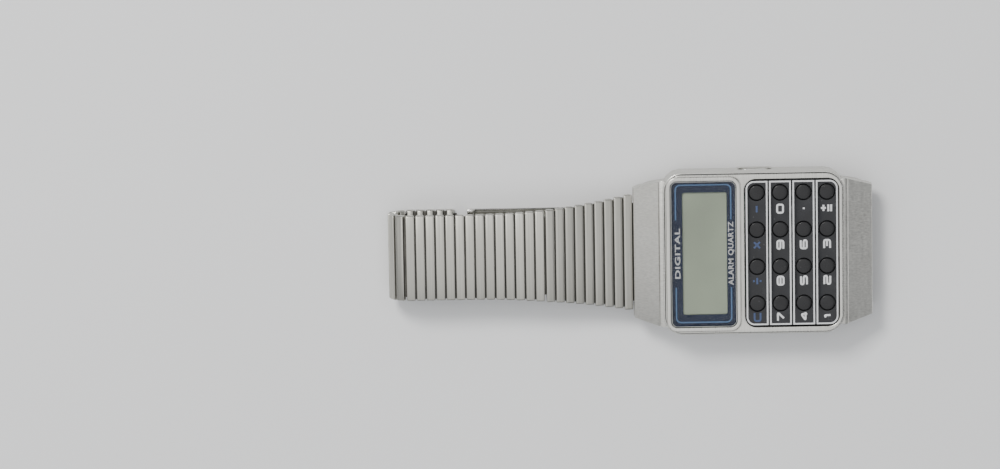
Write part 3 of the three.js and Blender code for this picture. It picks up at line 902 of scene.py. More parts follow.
def make_mask():
    low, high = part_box("display_mask")
    cell_half = Vector((4.65 * MM, 12.95 * MM))
    centre = between(low, high)
    half_x = (high.x - low.x) / 2
    half_y = (high.y - low.y) / 2
    outer = [rounded_path(2 * half_x, 2 * half_y, [1.5 * MM] * 4, centre, 8)] * 2
    window = (centre[0] + 0.28 * MM, centre[1])
    inner_low = rounded_path(2 * cell_half.x, 2 * cell_half.y, [0.45 * MM] * 4, window, 8)
    inner_high = rounded_path(
        2 * cell_half.x + 0.1 * MM, 2 * cell_half.y + 0.1 * MM, [0.5 * MM] * 4, window, 8
    )
    heights = [(outer[0], low.z), (outer[1], high.z), (inner_high, high.z), (inner_low, low.z)]
    loops = [[(x, y, z) for x, y in path] for path, z in heights]
    made = loft("mask", loops, ring=True)
    return dressed(made, material_of("navy"), "head", "mask_print", "display_mask")


def ribbon(name, path, width, z, thickness=0.02 * MM, closed=False):
    """A flat printed line of a width, along points in XY."""
    bm = bmesh.new()
    count = len(path)
    rows = []
    for i, (x, y) in enumerate(path):
        before = Vector(path[i - 1] if (closed or i) else path[i])
        after = Vector(path[(i + 1) % count] if (closed or i < count - 1) else path[i])
        along = (after - before).normalized()
        side = Vector((-along.y, along.x)) * width / 2
        corners = [(1, 0), (1, 1), (-1, 1), (-1, 0)]
        rows.append(
            [bm.verts.new((x + s * side.x, y + s * side.y, z + t * thickness)) for s, t in corners]
        )
    pairs = list(zip(rows, rows[1:]))
    if closed:
        pairs.append((rows[-1], rows[0]))
    for a, b in pairs:
        for i in range(4):
            bm.faces.new((a[i], a[(i + 1) % 4], b[(i + 1) % 4], b[i]))
    if not closed:
        bm.faces.new(rows[0][::-1])
        bm.faces.new(rows[-1])
    return mesh_object(name, bm)


def make_mask_lines():
    """The thin light line round the display, broken at the middle of both long sides for the wording."""
    low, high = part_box("display_mask")
    centre = middle("display_mask")
    path = rounded_path(
        high.x - low.x - 1.9 * MM, high.y - low.y - 2.4 * MM, [1.0 * MM] * 4, (centre.x, centre.y), 8
    )
    gap = 7.2 * MM
    upper = [p for p in path if p[1] > centre.y]
    lower = [p for p in path if p[1] < centre.y]
    half = (high.x - low.x - 1.9 * MM) / 2
    lines = []
    for side, points in ((1, upper), (-1, lower)):
        ordered = sorted(
            points, key=lambda p: math.atan2(side * (p[1] - centre.y), p[0] - centre.x)
        )
        ends = [(centre.x + half, centre.y + side * gap), (centre.x - half, centre.y + side * gap)]
        lines.append(ribbon("line", [ends[0], *ordered, ends[1]], 0.26 * MM, high.z + 0.005 * MM))
    made = joined("mask_line", lines)
    return dressed(made, material_of("line"), "head", "mask_print")


READING = Matrix(((0, -1, 0, 0), (1, 0, 0, 0), (0, 0, 1, 0), (0, 0, 0, 1)))


def lettering(name, words, height, stretch, place):
    """A generic word, wide and slightly bold, lying on the face with its top towards -X."""
    text = bpy.data.curves.new(name, "FONT")
    text.body = words
    text.size = height
    text.align_x = "CENTER"
    text.align_y = "CENTER"
    text.extrude = 0.008 * MM
    text.offset = 0.035 * MM
    text.space_character = 1.08
    mesh = flat_mesh(name, text)
    mesh.transform(Matrix.Translation(place) @ READING @ Matrix.Diagonal((stretch, 1, 1, 1)))
    made = bpy.data.objects.new(name, mesh)
    bpy.context.collection.objects.link(made)
    return made


def make_mask_words():
    centre = middle("display_mask")
    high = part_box("display_mask")[1]
    half = (high.x - centre.x) - 0.95 * MM
    z = high.z + 0.02 * MM
    top = lettering(
        "word", "DIGITAL", 1.5 * MM, 1.8, Vector((centre.x - half + 0.42 * MM, centre.y, z))
    )
    foot = lettering("word", "ALARM QUARTZ", 1.5 * MM, 1.12, Vector((centre.x + half, centre.y, z)))
    made = joined("mask_words", [top, foot])
    return dressed(made, material_of("white"), "head", "mask_print")


def make_display():
    low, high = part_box("lcd_panel")
    profile = [
        (0.1 * MM, low.z), (0.0, low.z + 0.1 * MM), (0.0, high.z - 0.1 * MM), (0.1 * MM, high.z)
    ]
    centre = between(low, high)
    made = turned_rect(
        "display_cell", high.x - low.x, high.y - low.y, [0.8 * MM] * 4, profile, centre, ring=False, steps=4
    )
    return dressed(made, material_of("cell"), "head", "lcd_glass", "lcd_panel")


# ---- the keypad ----------------------------------------------------------------------------------
KEY_BORE = 1.78 * MM  # radius
KEY_ROWS = [
    ("clear", "divide", "times", "minus"),
    ("7", "8", "9", "0"),
    ("4", "5", "6", "point"),
    ("1", "2", "3", "plus_equals"),
]
# Strokes of each legend in a unit square, x to the right and y up.
BOX = [(0, 0), (1, 0), (1, 1), (0, 1), (0, 0)]
STROKES = {
    "0": [BOX],
    "1": [[(0.3, 0.78), (0.58, 1), (0.58, 0)]],
    "2": [[(0, 1), (1, 1), (1, 0.52), (0, 0.52), (0, 0), (1, 0)]],
    "3": [[(0, 1), (1, 1), (1, 0), (0, 0)], [(0.25, 0.52), (1, 0.52)]],
    "4": [[(0.78, 0), (0.78, 1), (0, 0.28), (1, 0.28)]],
    "5": [[(1, 1), (0, 1), (0, 0.55), (1, 0.55), (1, 0), (0, 0)]],
    "6": [[(1, 1), (0, 1), (0, 0), (1, 0), (1, 0.52), (0, 0.52)]],
    "7": [[(0, 1), (1, 1), (0.3, 0)]],
    "8": [BOX, [(0, 0.52), (1, 0.52)]],
    "9": [[(0, 0), (1, 0), (1, 1), (0, 1), (0, 0.48), (1, 0.48)]],
    "point": [[(0.4, 0.45), (0.6, 0.45)]],
    "plus_equals": [
        [(0.5, 1.5), (0.5, 0.66)],
        [(0.12, 1.08), (0.88, 1.08)],
        [(0.08, 0.26), (0.92, 0.26)],
        [(0.08, -0.22), (0.92, -0.22)],
    ],
    "clear": [[(1, 1), (0, 1), (0, 0), (1, 0)]],
    "divide": [
        [(0.1, 0.5), (0.9, 0.5)], [(0.38, 1.06), (0.62, 1.06)], [(0.38, -0.06), (0.62, -0.06)]
    ],
    "times": [[(0.12, 0), (0.88, 1)], [(0.12, 1), (0.88, 0)]],
    "minus": [[(0.1, 0.5), (0.9, 0.5)]],
}


def softened_corners(points, radius):
    """A path with each corner replaced by a short arc."""
    if len(points) < 3:
        return points
    closed = points[0] == points[-1]
    inner = points[:-1] if closed else points[1:-1]
    path = [] if closed else [points[0]]
    ring = points[:-1]
    for index, here in enumerate(inner):
        if closed:
            before, after = ring[index - 1], ring[(index + 1) % len(ring)]
        else:
            before, after = points[index], points[index + 2]
        here, before, after = Vector(here), Vector(before), Vector(after)
        into = (before - here).normalized() * min(radius, (before - here).length / 2)
        out = (after - here).normalized() * min(radius, (after - here).length / 2)
        for t in (0.0, 0.25, 0.5, 0.75, 1.0):
            point = (1 - t) ** 2 * (here + into) + 2 * t * (1 - t) * here + t * t * (here + out)
            path.append((point.x, point.y))
    return path + ([path[0]] if closed else [points[-1]])


def legend_mesh(name, legend, place):
    s = sizes()
    curve = bpy.data.curves.new(name, "CURVE")
    curve.dimensions = "3D"
    curve.bevel_depth = s.stroke / 2
    curve.bevel_resolution = 3
    curve.use_fill_caps = True
    for strokes in STROKES[legend]:
        scaled = [((x - 0.5) * s.legend_width, (y - 0.5) * s.legend_height) for x, y in strokes]
        path = softened_corners(scaled, 0.42 * MM)
        closed = path[0] == path[-1] and len(path) > 2
        if closed:
            path = path[:-1]
        spline = curve.splines.new("POLY")
        spline.points.add(len(path) - 1)
        for point, (x, y) in zip(spline.points, path):
            point.co = (x, y, 0, 1)
        spline.use_cyclic_u = closed
    mesh = flat_mesh(name, curve)
    mesh.transform(Matrix.Translation(place) @ READING @ Matrix.Diagonal((1, 1, 0.09, 1)))
    mesh.shade_smooth()
    made = bpy.data.objects.new(name, mesh)
    bpy.context.collection.objects.link(made)
    return made


def row_corners(row, radius, small):
    """The corner radii of a row of the keypad: the outer corners of the first and last are round."""
    first, last = row == 0, row == len(KEY_ROWS) - 1
    return [
        radius if last else small,
        radius if first else small,
        radius if first else small,
        radius if last else small,
    ]


def key_bores(low, high):
    """Cutters for the sixteen holes that the keys stand in, through the panel's whole depth."""
    r = KEY_BORE
    profile = [(0, low.z - MM), (r, low.z - MM), (r, high.z + MM), (0, high.z + MM)]
    bores = [
        revolved("bore", profile, middle(f"key_{name}"), 36) for names in KEY_ROWS for name in names
    ]
    return joined("bores", bores)


def make_keypad():
    s = sizes()
    low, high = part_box("keypad_panel")
    centre = between(low, high)
    bed_top = high.z - 0.4 * MM
    profile = [
        (0.1 * MM, low.z), (0.0, low.z + 0.1 * MM), (0.0, bed_top - 0.08 * MM), (0.08 * MM, bed_top)
    ]
    bed = turned_rect(
        "keypad_bed", high.x - low.x, high.y - low.y, [2.25 * MM] * 4, profile, centre, ring=False, steps=10
    )
    strips, outlines = [], []
    for row, names in enumerate(KEY_ROWS):
        x = middle(f"key_{names[0]}").x
        radii = row_corners(row, 1.75 * MM, 0.12 * MM)
        top = high.z
        profile = [(0.0, bed_top - 0.1 * MM), (0.0, top - 0.07 * MM), (0.07 * MM, top)]
        strips.append(
            turned_rect(
                "strip",
                s.strip_depth,
                s.strip_length,
                radii,
                profile,
                (x, centre[1]),
                ring=False,
                steps=8,
            )
        )
        line = [(0.03 * MM, top - 0.06 * MM), (0.05 * MM, top + 0.03 * MM)]
        line += [(s.outline, top + 0.03 * MM), (s.outline + 0.02 * MM, top - 0.03 * MM)]
        outlines.append(
            turned_rect(
                "outline", s.strip_depth, s.strip_length, radii, line, (x, centre[1]), steps=8
            )
        )
    cut(bed, key_bores(low, high))
    dressed(bed, material_of("bed"), "head", "keypad_lacquer", "keypad_panel")
    panel = joined("keypad_rows", strips)
    cut(panel, key_bores(low, high))
    panel = softened(panel, 0.05 * MM, 2, 40)
    dressed(panel, material_of("lacquer"), "head", "keypad_lacquer", "keypad_panel")
    dressed(joined("keypad_outlines", outlines), material_of("white"), "head", "keypad_lacquer")
    for kind, rows, ink in (("function", KEY_ROWS[:1], "blue"), ("figure", KEY_ROWS[1:], "white")):
        marks = []
        for names in rows:
            for name in names:
                at = middle(f"key_{name}")
                spread = 0.026 * (at.y - middle(f"key_{names[0]}").y)
                place = Vector((at.x, at.y - s.legend_shift - spread, high.z + 0.012 * MM))
                marks.append(legend_mesh("legend", name, place))
        made = joined(f"{kind}_legends", marks)
        made.data.shade_smooth()
        dressed(made, material_of(ink), "head", "keypad_lacquer")


def make_keys():
    """Each key: a low crowned button with a rounded rim, riding on its own body."""
    for names in KEY_ROWS:
        for name in names:
            key = f"key_{name}"
            low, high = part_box(key)
            at = (low + high) / 2
            r = 1.6 * MM
            top = high.z
            profile = [(0.0, low.z), (2.0 * MM, low.z), (2.05 * MM, low.z + 0.1 * MM)]
            profile += [(2.05 * MM, low.z + 0.35 * MM), (r, low.z + 0.4 * MM), (r, top - 0.34 * MM)]
            for step in range(1, 7):
                angle = math.radians(15 * step)
                profile.append(
                    (
                        r - 0.22 * MM * (1 - math.cos(angle)),
                        top - 0.34 * MM + 0.25 * MM * math.sin(angle),
                    )
                )
            profile += [(1.15 * MM, top - 0.04 * MM), (0.7 * MM, top - 0.012 * MM), (0.0, top)]
            made = revolved(f"button_{name}", profile, at, 40)
            dressed(made, material_of("key"), key, "key_plastic", key)


# ---- the back, the pushers and the pieces inside -------------------------------------------------
def make_back():
    low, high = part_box("case_back")
    centre = between(low, high)
    profile = [
        (0.0, high.z),
        (0.0, low.z + 0.12 * MM),
        (0.1 * MM, low.z + 0.02 * MM),
        (0.2 * MM, low.z),
        (1.5 * MM, low.z),
        (1.6 * MM, low.z + 0.1 * MM),
        (1.8 * MM, low.z + 0.1 * MM),
        (1.9 * MM, low.z),
    ]
    plate = turned_rect(
        "back_plate", high.x - low.x, high.y - low.y, [3.4 * MM] * 4, profile, centre, ring=False, steps=12
    )
    sinks = []
    for i in range(1, 5):
        at = middle(f"back_screw_{i}")
        rim = 1.18 * MM
        floor_z = low.z + 0.5 * MM
        sink = [(0, low.z - MM), (rim, low.z - MM), (rim, floor_z), (0, floor_z)]
        sinks.append(revolved("sink", sink, at, 32))
    cut(plate, joined("sinks", sinks))
    plate.data.shade_smooth()
    plate.data.set_sharp_from_angle(angle=math.radians(30))
    dressed(plate, material_of("back"), "head", "back_steel", "case_back")
    for i in range(1, 5):
        screw = f"back_screw_{i}"
        low_s, high_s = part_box(screw)
        at = (low_s + high_s) / 2
        profile = [(0.0, low_s.z), (0.75 * MM, low_s.z), (0.95 * MM, low_s.z + 0.07 * MM)]
        profile += [
            (1.0 * MM, low_s.z + 0.16 * MM),
            (1.0 * MM, low_s.z + 0.3 * MM),
            (0.36 * MM, low_s.z + 0.3 * MM),
        ]
        profile += [(0.36 * MM, high_s.z - 0.2 * MM), (0.0, high_s.z)]
        made = revolved(f"screw_{i}", profile, at, 32)
        angle = math.radians(35 * i)
        half = (1.5 * MM, 0.13 * MM)
        corners = [(x * half[0], y * half[1]) for x, y in ((-1, -1), (1, -1), (1, 1), (-1, 1))]
        slot = loft("slot", [[(x, y, z) for x, y in corners] for z in (-MM, 0.14 * MM)])
        slot.data.transform(
            Matrix.Translation((at.x, at.y, low_s.z)) @ Matrix.Rotation(angle, 4, "Z")
        )
        cut(made, slot)
        made.data.set_sharp_from_angle(angle=math.radians(35))
        dressed(made, material_of("small"), "head", "back_steel", screw)


def make_pushers():
    for side, name in ((1, "pusher_upper"), (-1, "pusher_lower")):
        low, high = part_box(name)
        at = (low + high) / 2
        outer = high.y if side > 0 else low.y
        inner = low.y if side > 0 else high.y
        steps = [
            (5.1, 1.5, 0.0),
            (5.2, 1.6, 0.12),
            (5.2, 1.6, 2.9),
            (6.6, 3.0, 2.95),
            (6.6, 3.0, 3.3),
            (0.9, 0.9, 3.35),
            (0.9, 0.9, abs(outer - inner) / MM),
        ]
        loops = []
        for width, height, depth in steps:
            path = rounded_path(width * MM, height * MM, [height / 2 * 0.98 * MM] * 4, (0, 0), 8)
            y = outer - side * depth * MM
            loops.append([(at.x + x, y, at.z + z) for x, z in path])
        made = loft("button_" + name, loops)
        dressed(made, material_of("small"), name, "back_steel", name)


CARRIED = {
    "back_gasket": "rubber",
    "battery": "small",
    "chip": "plastic",
    "circuit_board": "board",
    "key_mat": "rubber",
    "module_frame": "plastic",
    "piezo_disc": "brass",
    "pusher_spring_lower": "small",
    "pusher_spring_upper": "small",
    "quartz_crystal": "small",
    "spring_bar_left": "small",
    "spring_bar_right": "small",
    "zebra_strip_1": "rubber",
    "zebra_strip_2": "rubber",
}


def make_carried():
    """The sealed pieces keep their CAD shapes and get their materials."""
    for name, look in CARRIED.items():
        mesh = frame["nodes"][name].data
        mesh.materials.clear()
        mesh.materials.append(material_of(look))


# ---- the bracelet --------------------------------------------------------------------------------
def bar_section(scale_x=1.0, scale_z=1.0):
    """Half-round-edged section of one bar: flat satin top, a bevel on both edges, drawn in underneath."""
    h = 0.8 * MM
    top = (sizes().pitch - sizes().gap) / 2
    half = [(0.5 * MM, -h), (0.6 * MM, -h + 0.06 * MM), (0.76 * MM, -0.25 * MM), (top, 0.22 * MM)]
    half += [
        (top, h - 0.14 * MM), (top - 0.02 * MM, h - 0.08 * MM), (top - 0.07 * MM, h - 0.025 * MM)
    ]
    half += [(top - 0.14 * MM, h - 0.004 * MM), (top * 0.4, h)]
    mirrored = [(-x, z) for x, z in reversed(half)]
    return [(x * scale_x, z * scale_z) for x, z in half + mirrored]


def bar_mesh(name, section, width):
    """One bar about the origin, its ends slightly rounded."""
    half = width / 2
    reach = 0.22 * MM
    stations = [(-half + reach * i / 2, shrink) for i, shrink in enumerate((0.82, 0.94, 1.0))]
    stations += [(-y, shrink) for y, shrink in reversed(stations)]
    loops = [
        [(x * (0.5 + 0.5 * shrink), y, z * shrink) for x, z in section] for y, shrink in stations
    ]
    return loft(name, loops, smooth_angle=38)


def run_tree():
    """Geometry Nodes: bars in a row along X, each as wide as the bracelet's taper asks."""
    tree = bpy.data.node_groups.new("bracelet_run", "GeometryNodeTree")
    inputs = [
        ("Bar", "NodeSocketObject"),
        ("Count", "NodeSocketInt"),
        ("First", "NodeSocketFloat"),
        ("Pitch", "NodeSocketFloat"),
        ("Start", "NodeSocketFloat"),
        ("Wide", "NodeSocketFloat"),
        ("Narrow", "NodeSocketFloat"),
        ("Taper", "NodeSocketFloat"),
        ("Seed", "NodeSocketInt"),
        ("Material", "NodeSocketMaterial"),
    ]
    for label, kind in inputs:
        tree.interface.new_socket(label, in_out="INPUT", socket_type=kind)
    tree.interface.new_socket("Geometry", in_out="OUTPUT", socket_type="NodeSocketGeometry")
    source = tree.nodes.new("NodeGroupInput").outputs
    out = tree.nodes.new("NodeGroupOutput")

    def maths(operation, first, second):
        return node(tree, "ShaderNodeMath", {0: first, 1: second}, operation=operation).outputs[0]

    start = node(tree, "ShaderNodeCombineXYZ", {0: source["First"]}).outputs[0]
    offset = node(tree, "ShaderNodeCombineXYZ", {0: source["Pitch"]}).outputs[0]
    line = node(
        tree, "GeometryNodeMeshLine", {
            "Count": source["Count"], "Start Location": start, "Offset": offset
        }
    )
    place = node(
        tree, "ShaderNodeSeparateXYZ", {0: node(tree, "GeometryNodeInputPosition").outputs[0]}
    ).outputs[0]
    along = maths("ADD", place, source["Start"])
    left = maths("MAXIMUM", maths("SUBTRACT", 1.0, maths("DIVIDE", along, source["Taper"])), 0.0)
    extra = maths(
        "MULTIPLY", maths("SUBTRACT", source["Wide"], source["Narrow"]), maths("POWER", left, 2.0)
    )
    stretch = maths("DIVIDE", maths("ADD", extra, source["Narrow"]), source["Narrow"])
    scale = node(tree, "ShaderNodeCombineXYZ", {0: 1.0, 1: stretch, 2: 1.0}).outputs[0]
    bar = node(tree, "GeometryNodeObjectInfo", {"Object": source["Bar"]})
    rows = node(
        tree,
        "GeometryNodeInstanceOnPoints",
        {"Points": line.outputs["Mesh"], "Instance": bar.outputs["Geometry"], "Scale": scale},
    )
    shade = node(
        tree,
        "FunctionNodeRandomValue",
        {"Min": 0.88, "Max": 1.0, "Seed": source["Seed"]},
        data_type="FLOAT",
    )
    toned = node(
        tree,
        "GeometryNodeStoreNamedAttribute",
        {"Geometry": rows.outputs["Instances"], "Name": "tone"},
        data_type="FLOAT",
        domain="INSTANCE",
    )
    tree.links.new(
        [o for o in shade.outputs if o.enabled][0],
        [i for i in toned.inputs if i.name == "Value" and i.enabled][0],
    )
    solid = node(tree, "GeometryNodeRealizeInstances", {"Geometry": toned.outputs["Geometry"]})
    coated = node(
        tree, "GeometryNodeSetMaterial", {
            "Geometry": solid.outputs["Geometry"], "Material": source["Material"]
        }
    )
    tree.links.new(coated.outputs["Geometry"], out.inputs["Geometry"])
    return tree


RUN = {}


def bar_run(name, values):
    """The run tree's result as a plain object."""
    if "tree" not in RUN:
        RUN["tree"] = run_tree()
    made = bpy.data.objects.new(name, bpy.data.meshes.new(name))
    bpy.context.collection.objects.link(made)
    modifier = made.modifiers.new("run", "NODES")
    modifier.node_group = RUN["tree"]
    identifiers = {
        item.name: item.identifier
        for item in RUN["tree"].interface.items_tree
        if item.item_type == "SOCKET" and item.in_out == "INPUT"
    }
    for label, value in values.items():
        modifier[identifiers[label]] = value
    evaluated(made)
    made.data.shade_smooth()
    made.data.set_sharp_from_angle(angle=math.radians(38))
    return made


def strand_matrix(origin, heading, outer):
    """From a run's own frame, X along it and Z to its outer side, to the row frame."""
    x = heading.normalized()
    z = (outer - outer.dot(x) * x).normalized()
    y = z.cross(x)
    turned = Matrix((x, y, z)).transposed().to_4x4()
    return Matrix.Translation(origin) @ turned


def make_run(name, body, origin, heading, outer, count, start, lug=0.0, knuckle=True, seed=1):
    """Bars, the narrower inner links between them and the knuckle at the far end, as one object."""
    s = sizes()
    shared = {
        "Pitch": s.pitch,
        "Start": start,
        "Wide": s.wide,
        "Narrow": s.narrow,
        "Taper": s.taper,
        "Seed": seed,
    }
    first = lug + s.pitch / 2
    bars = bar_run(
        "bars",
        {
            **shared,
            "Bar": RUN["bar"],
            "Count": count,
            "First": first,
            "Material": material_of("bars"),
        },
    )
    pieces = [bars]
    if count > 1:
        # The inner links, the knuckle and the tongue take the core steel darkened to near black: painted
        # shade for the gaps between the bars.
        inner = {
            "Bar": RUN["inner"],
            "Count": count - 1,
            "First": first + s.pitch / 2,
            "Material": material_of("core"),
        }
        pieces.append(bar_run("inner", {**shared, **inner}))
    end = lug + count * s.pitch
    if knuckle:
        section = [
            (end + 0.42 * MM * math.cos(math.radians(a)), 0.42 * MM * math.sin(math.radians(a)))
            for a in range(-150, 151, 20)
        ]
        section += [(end - 0.8 * MM, 0.2 * MM), (end - 0.8 * MM, -0.25 * MM)]
        barrel = across("knuckle", section, lambda x: s.narrow / 2 - 0.8 * MM)
        barrel.data.materials.append(material_of("core"))
        pieces.append(barrel)
    if lug:
        section = [
            (
                0.9 * MM * math.cos(math.radians(a)), 0.9 * MM * math.sin(math.radians(a))
            ) for a in range(30, 331, 15)
        ]
        section += [(lug + 0.4 * MM, -0.45 * MM), (lug + 0.4 * MM, 0.45 * MM)]
        tongue = across("tongue", section, lambda x: 10.4 * MM)
        tongue.data.materials.append(material_of("core"))
        pieces.append(tongue)
    made = joined(name, pieces)
    made.data.transform(strand_matrix(origin, heading, outer))
    return dressed(made, None, body, "bracelet_steel", body)


def make_strands():
    s = sizes()
    RUN["bar"] = bar_mesh("bar_shape", bar_section(), s.narrow)
    RUN["inner"] = bar_mesh("inner_shape", bar_section(0.45, 0.42), s.narrow - 0.6 * MM)
    lug = 1.15 * MM
    up = Vector((0, 0, 1))
    chain = ["left_hood_hinge", "left_crest_hinge"] + [f"left_turn_hinge_{i}" for i in range(1, 7)]
    chain.append("clasp_inner_hinge")
    bodies = ["left_run_rise", "left_run_level"] + [
        f"left_link_{i}" for i in range(1, 6)
    ] + ["left_run_lower"]
    start = 0.0
    for index, body in enumerate(bodies):
        here, after = pin(chain[index]), pin(chain[index + 1])
        heading = after - here
        bare = lug if index == 0 else 0.0
        count = round((heading.length - bare) / s.pitch)
        outer = Vector((heading.z, 0, -heading.x)) if index > 1 else up
        make_run("strap_" + body, body, here, heading, outer, count, start, bare, seed=index + 3)
        start += heading.length
    chain = ["right_hood_hinge", "right_bend_hinge_1", "right_bend_hinge_2"]
    bodies = ["right_link_1", "right_link_2", "right_run_lower"]
    run_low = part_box("right_run_lower")[0]
    points = [pin(joint) for joint in chain]
    points.append(Vector((run_low.x - s.gap / 2, 0, points[-1].z)))
    start = 0.0
    for index, body in enumerate(bodies):
        here, after = points[index], points[index + 1]
        heading = after - here
        bare = lug if index == 0 else 0.0
        count = round((heading.length - bare) / s.pitch)
        outer = Vector((-heading.z, 0, heading.x))
        make_run(
            "strap_" + body,
            body,
            here,
            heading,
            outer,
            count,
            start,
            bare,
            index < 2,
            seed=index + 20,
        )
        start += heading.length
    for shape in ("bar", "inner"):
        bpy.data.objects.remove(RUN.pop(shape))


# ---- the clasp -----------------------------------------------------------------------------------
def leaf(name, x0, x1, half, z0, z1, bevel=0.08 * MM):
    """A flat leaf of the clasp with softened edges, between two heights."""
    profile = [(bevel, z0), (0.0, z0 + bevel), (0.0, z1 - bevel), (bevel, z1)]
    return turned_rect(
        name, x1 - x0, 2 * half, [0.5 * MM] * 4, profile, ((x0 + x1) / 2, 0), ring=False, steps=5
    )


def roll(name, place, radius, half):
    """A rolled barrel along Y."""
    section = [
        (place.x + radius * math.cos(math.radians(a)), place.z + radius * math.sin(math.radians(a)))
        for a in range(0, 360, 18)
    ]
    return across(name, section, lambda x: half)


def make_clasp():
    hang, fold, lid = pin("clasp_inner_hinge"), pin("clasp_outer_hinge"), pin("clasp_cover_hinge")
    blade = 0.6 * MM
    pieces = [
        leaf("inner", hang.x + 0.4 * MM, fold.x - 1.3 * MM, 7.5 * MM, 2.4 * MM - blade, 2.4 * MM),
        leaf("neck", hang.x + 0.35 * MM, hang.x + 1.25 * MM, 6.5 * MM, 0.5 * MM, 2.1 * MM),
        leaf("arm", fold.x - 1.9 * MM, fold.x + 0.1 * MM, 3.0 * MM, 2.4 * MM - blade, 2.4 * MM),
        roll("barrel", fold, 0.62 * MM, 3.0 * MM),
    ]
    dressed(
        joined("inner_leaf", pieces),
        material_of("small"),
        "clasp_inner_blade",
        "bracelet_steel",
        "clasp_inner_blade",
    )
    low, high = 1.0 * MM, 1.0 * MM + blade
    pieces = [
        leaf("outer", lid.x, fold.x - 0.9 * MM, 7.5 * MM, low, high),
        roll("barrel", lid, 0.41 * MM, 7.2 * MM),
    ]
    for side in (1, -1):
        section = [
            (fold.x - 1.6 * MM, low), (fold.x + 0.85 * MM, low), (fold.x + 0.85 * MM, 2.25 * MM)
        ]
        section += [
            (fold.x - 0.7 * MM, 2.25 * MM), (fold.x - 0.7 * MM, high), (fold.x - 1.6 * MM, high)
        ]
        cheek = across("cheek", section, lambda x: 0.9 * MM)
        cheek.data.transform(Matrix.Translation((0, side * 4.1 * MM, 0)))
        pieces.append(softened(cheek, 0.06 * MM))
    pieces.append(roll("pin", fold, 0.25 * MM, 4.4 * MM))
    dressed(
        joined("outer_leaf", pieces),
        material_of("small"),
        "clasp_outer_blade",
        "bracelet_steel",
        "clasp_outer_blade",
    )
    cover_low, cover_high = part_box("clasp_cover")
    half = (cover_high.y - cover_low.y) / 2
    pieces = [
        leaf("cover", cover_low.x + 0.1 * MM, cover_high.x, half, 0.12 * MM, 0.8 * MM, 0.16 * MM)
    ]
    for side in (1, -1):
        section = [(cover_low.x, 0.4 * MM), (cover_low.x + 1.6 * MM, 0.4 * MM)]
        section += [
            (cover_low.x + 1.6 * MM, 1.3 * MM),
            (cover_low.x + 1.2 * MM, 1.75 * MM),
            (cover_low.x, 1.75 * MM),
        ]
        ear = across("ear", section, lambda x: 0.6 * MM)
        ear.data.transform(Matrix.Translation((0, side * (half - 0.6 * MM), 0)))
        pieces.append(softened(ear, 0.1 * MM))
    pieces.append(roll("pin", lid, 0.16 * MM, half - 0.4 * MM))
    for piece in pieces:
        piece.data.materials.append(material_of("small"))
    s = sizes()
    rib = bar_mesh(
        "rib_shape", [(x, min(z, 0.3 * MM)) for x, z in bar_section(1.0, 0.4)], 2 * half - 0.2 * MM
    )
    count = int((cover_high.x - cover_low.x - 1.6 * MM) / s.pitch)
    values = {
        "Bar": rib, "Count": count, "First": 0.0, "Pitch": s.pitch, "Start": 1.0, "Wide": s.wide
    }
    values |= {"Narrow": s.narrow, "Taper": s.taper, "Seed": 40, "Material": material_of("bars")}
    ribs = bar_run("ribs", values)
    turn = strand_matrix(
        Vector((cover_low.x + 1.5 * MM, 0, 0.3 * MM)), Vector((1, 0, 0)), Vector((0, 0, -1))
    )
    ribs.data.transform(turn)
    bpy.data.objects.remove(rib)
    dressed(
        joined("clasp_lid", [*pieces, ribs]), None, "clasp_cover", "bracelet_steel", "clasp_cover"
    )


# ---- floor, lights and camera --------------------------------------------------------------------
# The view: its width and scale, the sensor, the camera's distance, lean and roll, and where
# the face stands.
ACROSS = 1000
SCALE = 4770.0
SENSOR = 36.0
DISTANCE = 0.95
TILT = 9.0
ROLL = 1.0
FACE_RIGHT = 254.0
FACE_DOWN = 19.0
# The floor stands this far below the lowest point.
FLOOR_GAP = 0.05 * MM
SKY_TINT = (0.84, 0.87, 0.92, 1.0)
SKY_STRENGTH = 0.30
# Each lamp's name, place, what it points at, size across and along, power and tint.
LAMPS = (
    ("softbox", (-0.58, -0.06, 0.80), (-0.58, -0.06, 0.0), 1.9, 1.1, 8.2, (1.0, 1.0, 1.0)),
    ("key", (-0.38, 0.62, 0.86), (0.0, 0.0, 0.0), 0.30, 0.30, 9.0, (1.0, 0.985, 0.96)),
    ("rim", (0.70, 0.0, 0.07), (0.0, 0.0, 0.0), 0.60, 0.10, 0.9, (1.0, 1.0, 1.0)),
)


def soft_lamp(name, place, towards, across, along, power, tint):
    light = bpy.data.lights.new(name, "AREA")
    light.shape = "RECTANGLE"
    light.size = across
    light.size_y = along
    light.energy = power
    light.color = tint
    lamp = bpy.data.objects.new(name, light)
    bpy.context.collection.objects.link(lamp)
    lamp.location = Vector(place)
    lamp.rotation_euler = (Vector(towards) - lamp.location).to_track_quat("-Z", "Y").to_euler()


def make_camera():
    """A camera over the face, leaning towards +Y, with the face right of the middle of the view."""
    _, _, centre = case_outline()
    tilt, roll = math.radians(TILT), math.radians(ROLL)
    away = Vector((0, math.sin(tilt), math.cos(tilt)))
    level = Vector((1, 0, 0))
    right = (Matrix.Rotation(-roll, 4, away) @ level).normalized()
    up = away.cross(right)
    face = Vector((centre[0], centre[1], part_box("face_plate")[1].z))
    target = face - right * (FACE_RIGHT / SCALE) + up * (FACE_DOWN / SCALE)
    lens = bpy.data.cameras.new("camera")
    lens.sensor_width = SENSOR
    lens.lens = SENSOR * DISTANCE * SCALE / ACROSS
    lens.clip_start = 0.01
    camera = bpy.data.objects.new("camera", lens)
    bpy.context.collection.objects.link(camera)
    turn = Matrix((right, up, away)).transposed().to_4x4()
    camera.matrix_world = Matrix.Translation(target + away * DISTANCE) @ turn
    bpy.context.scene.camera = camera


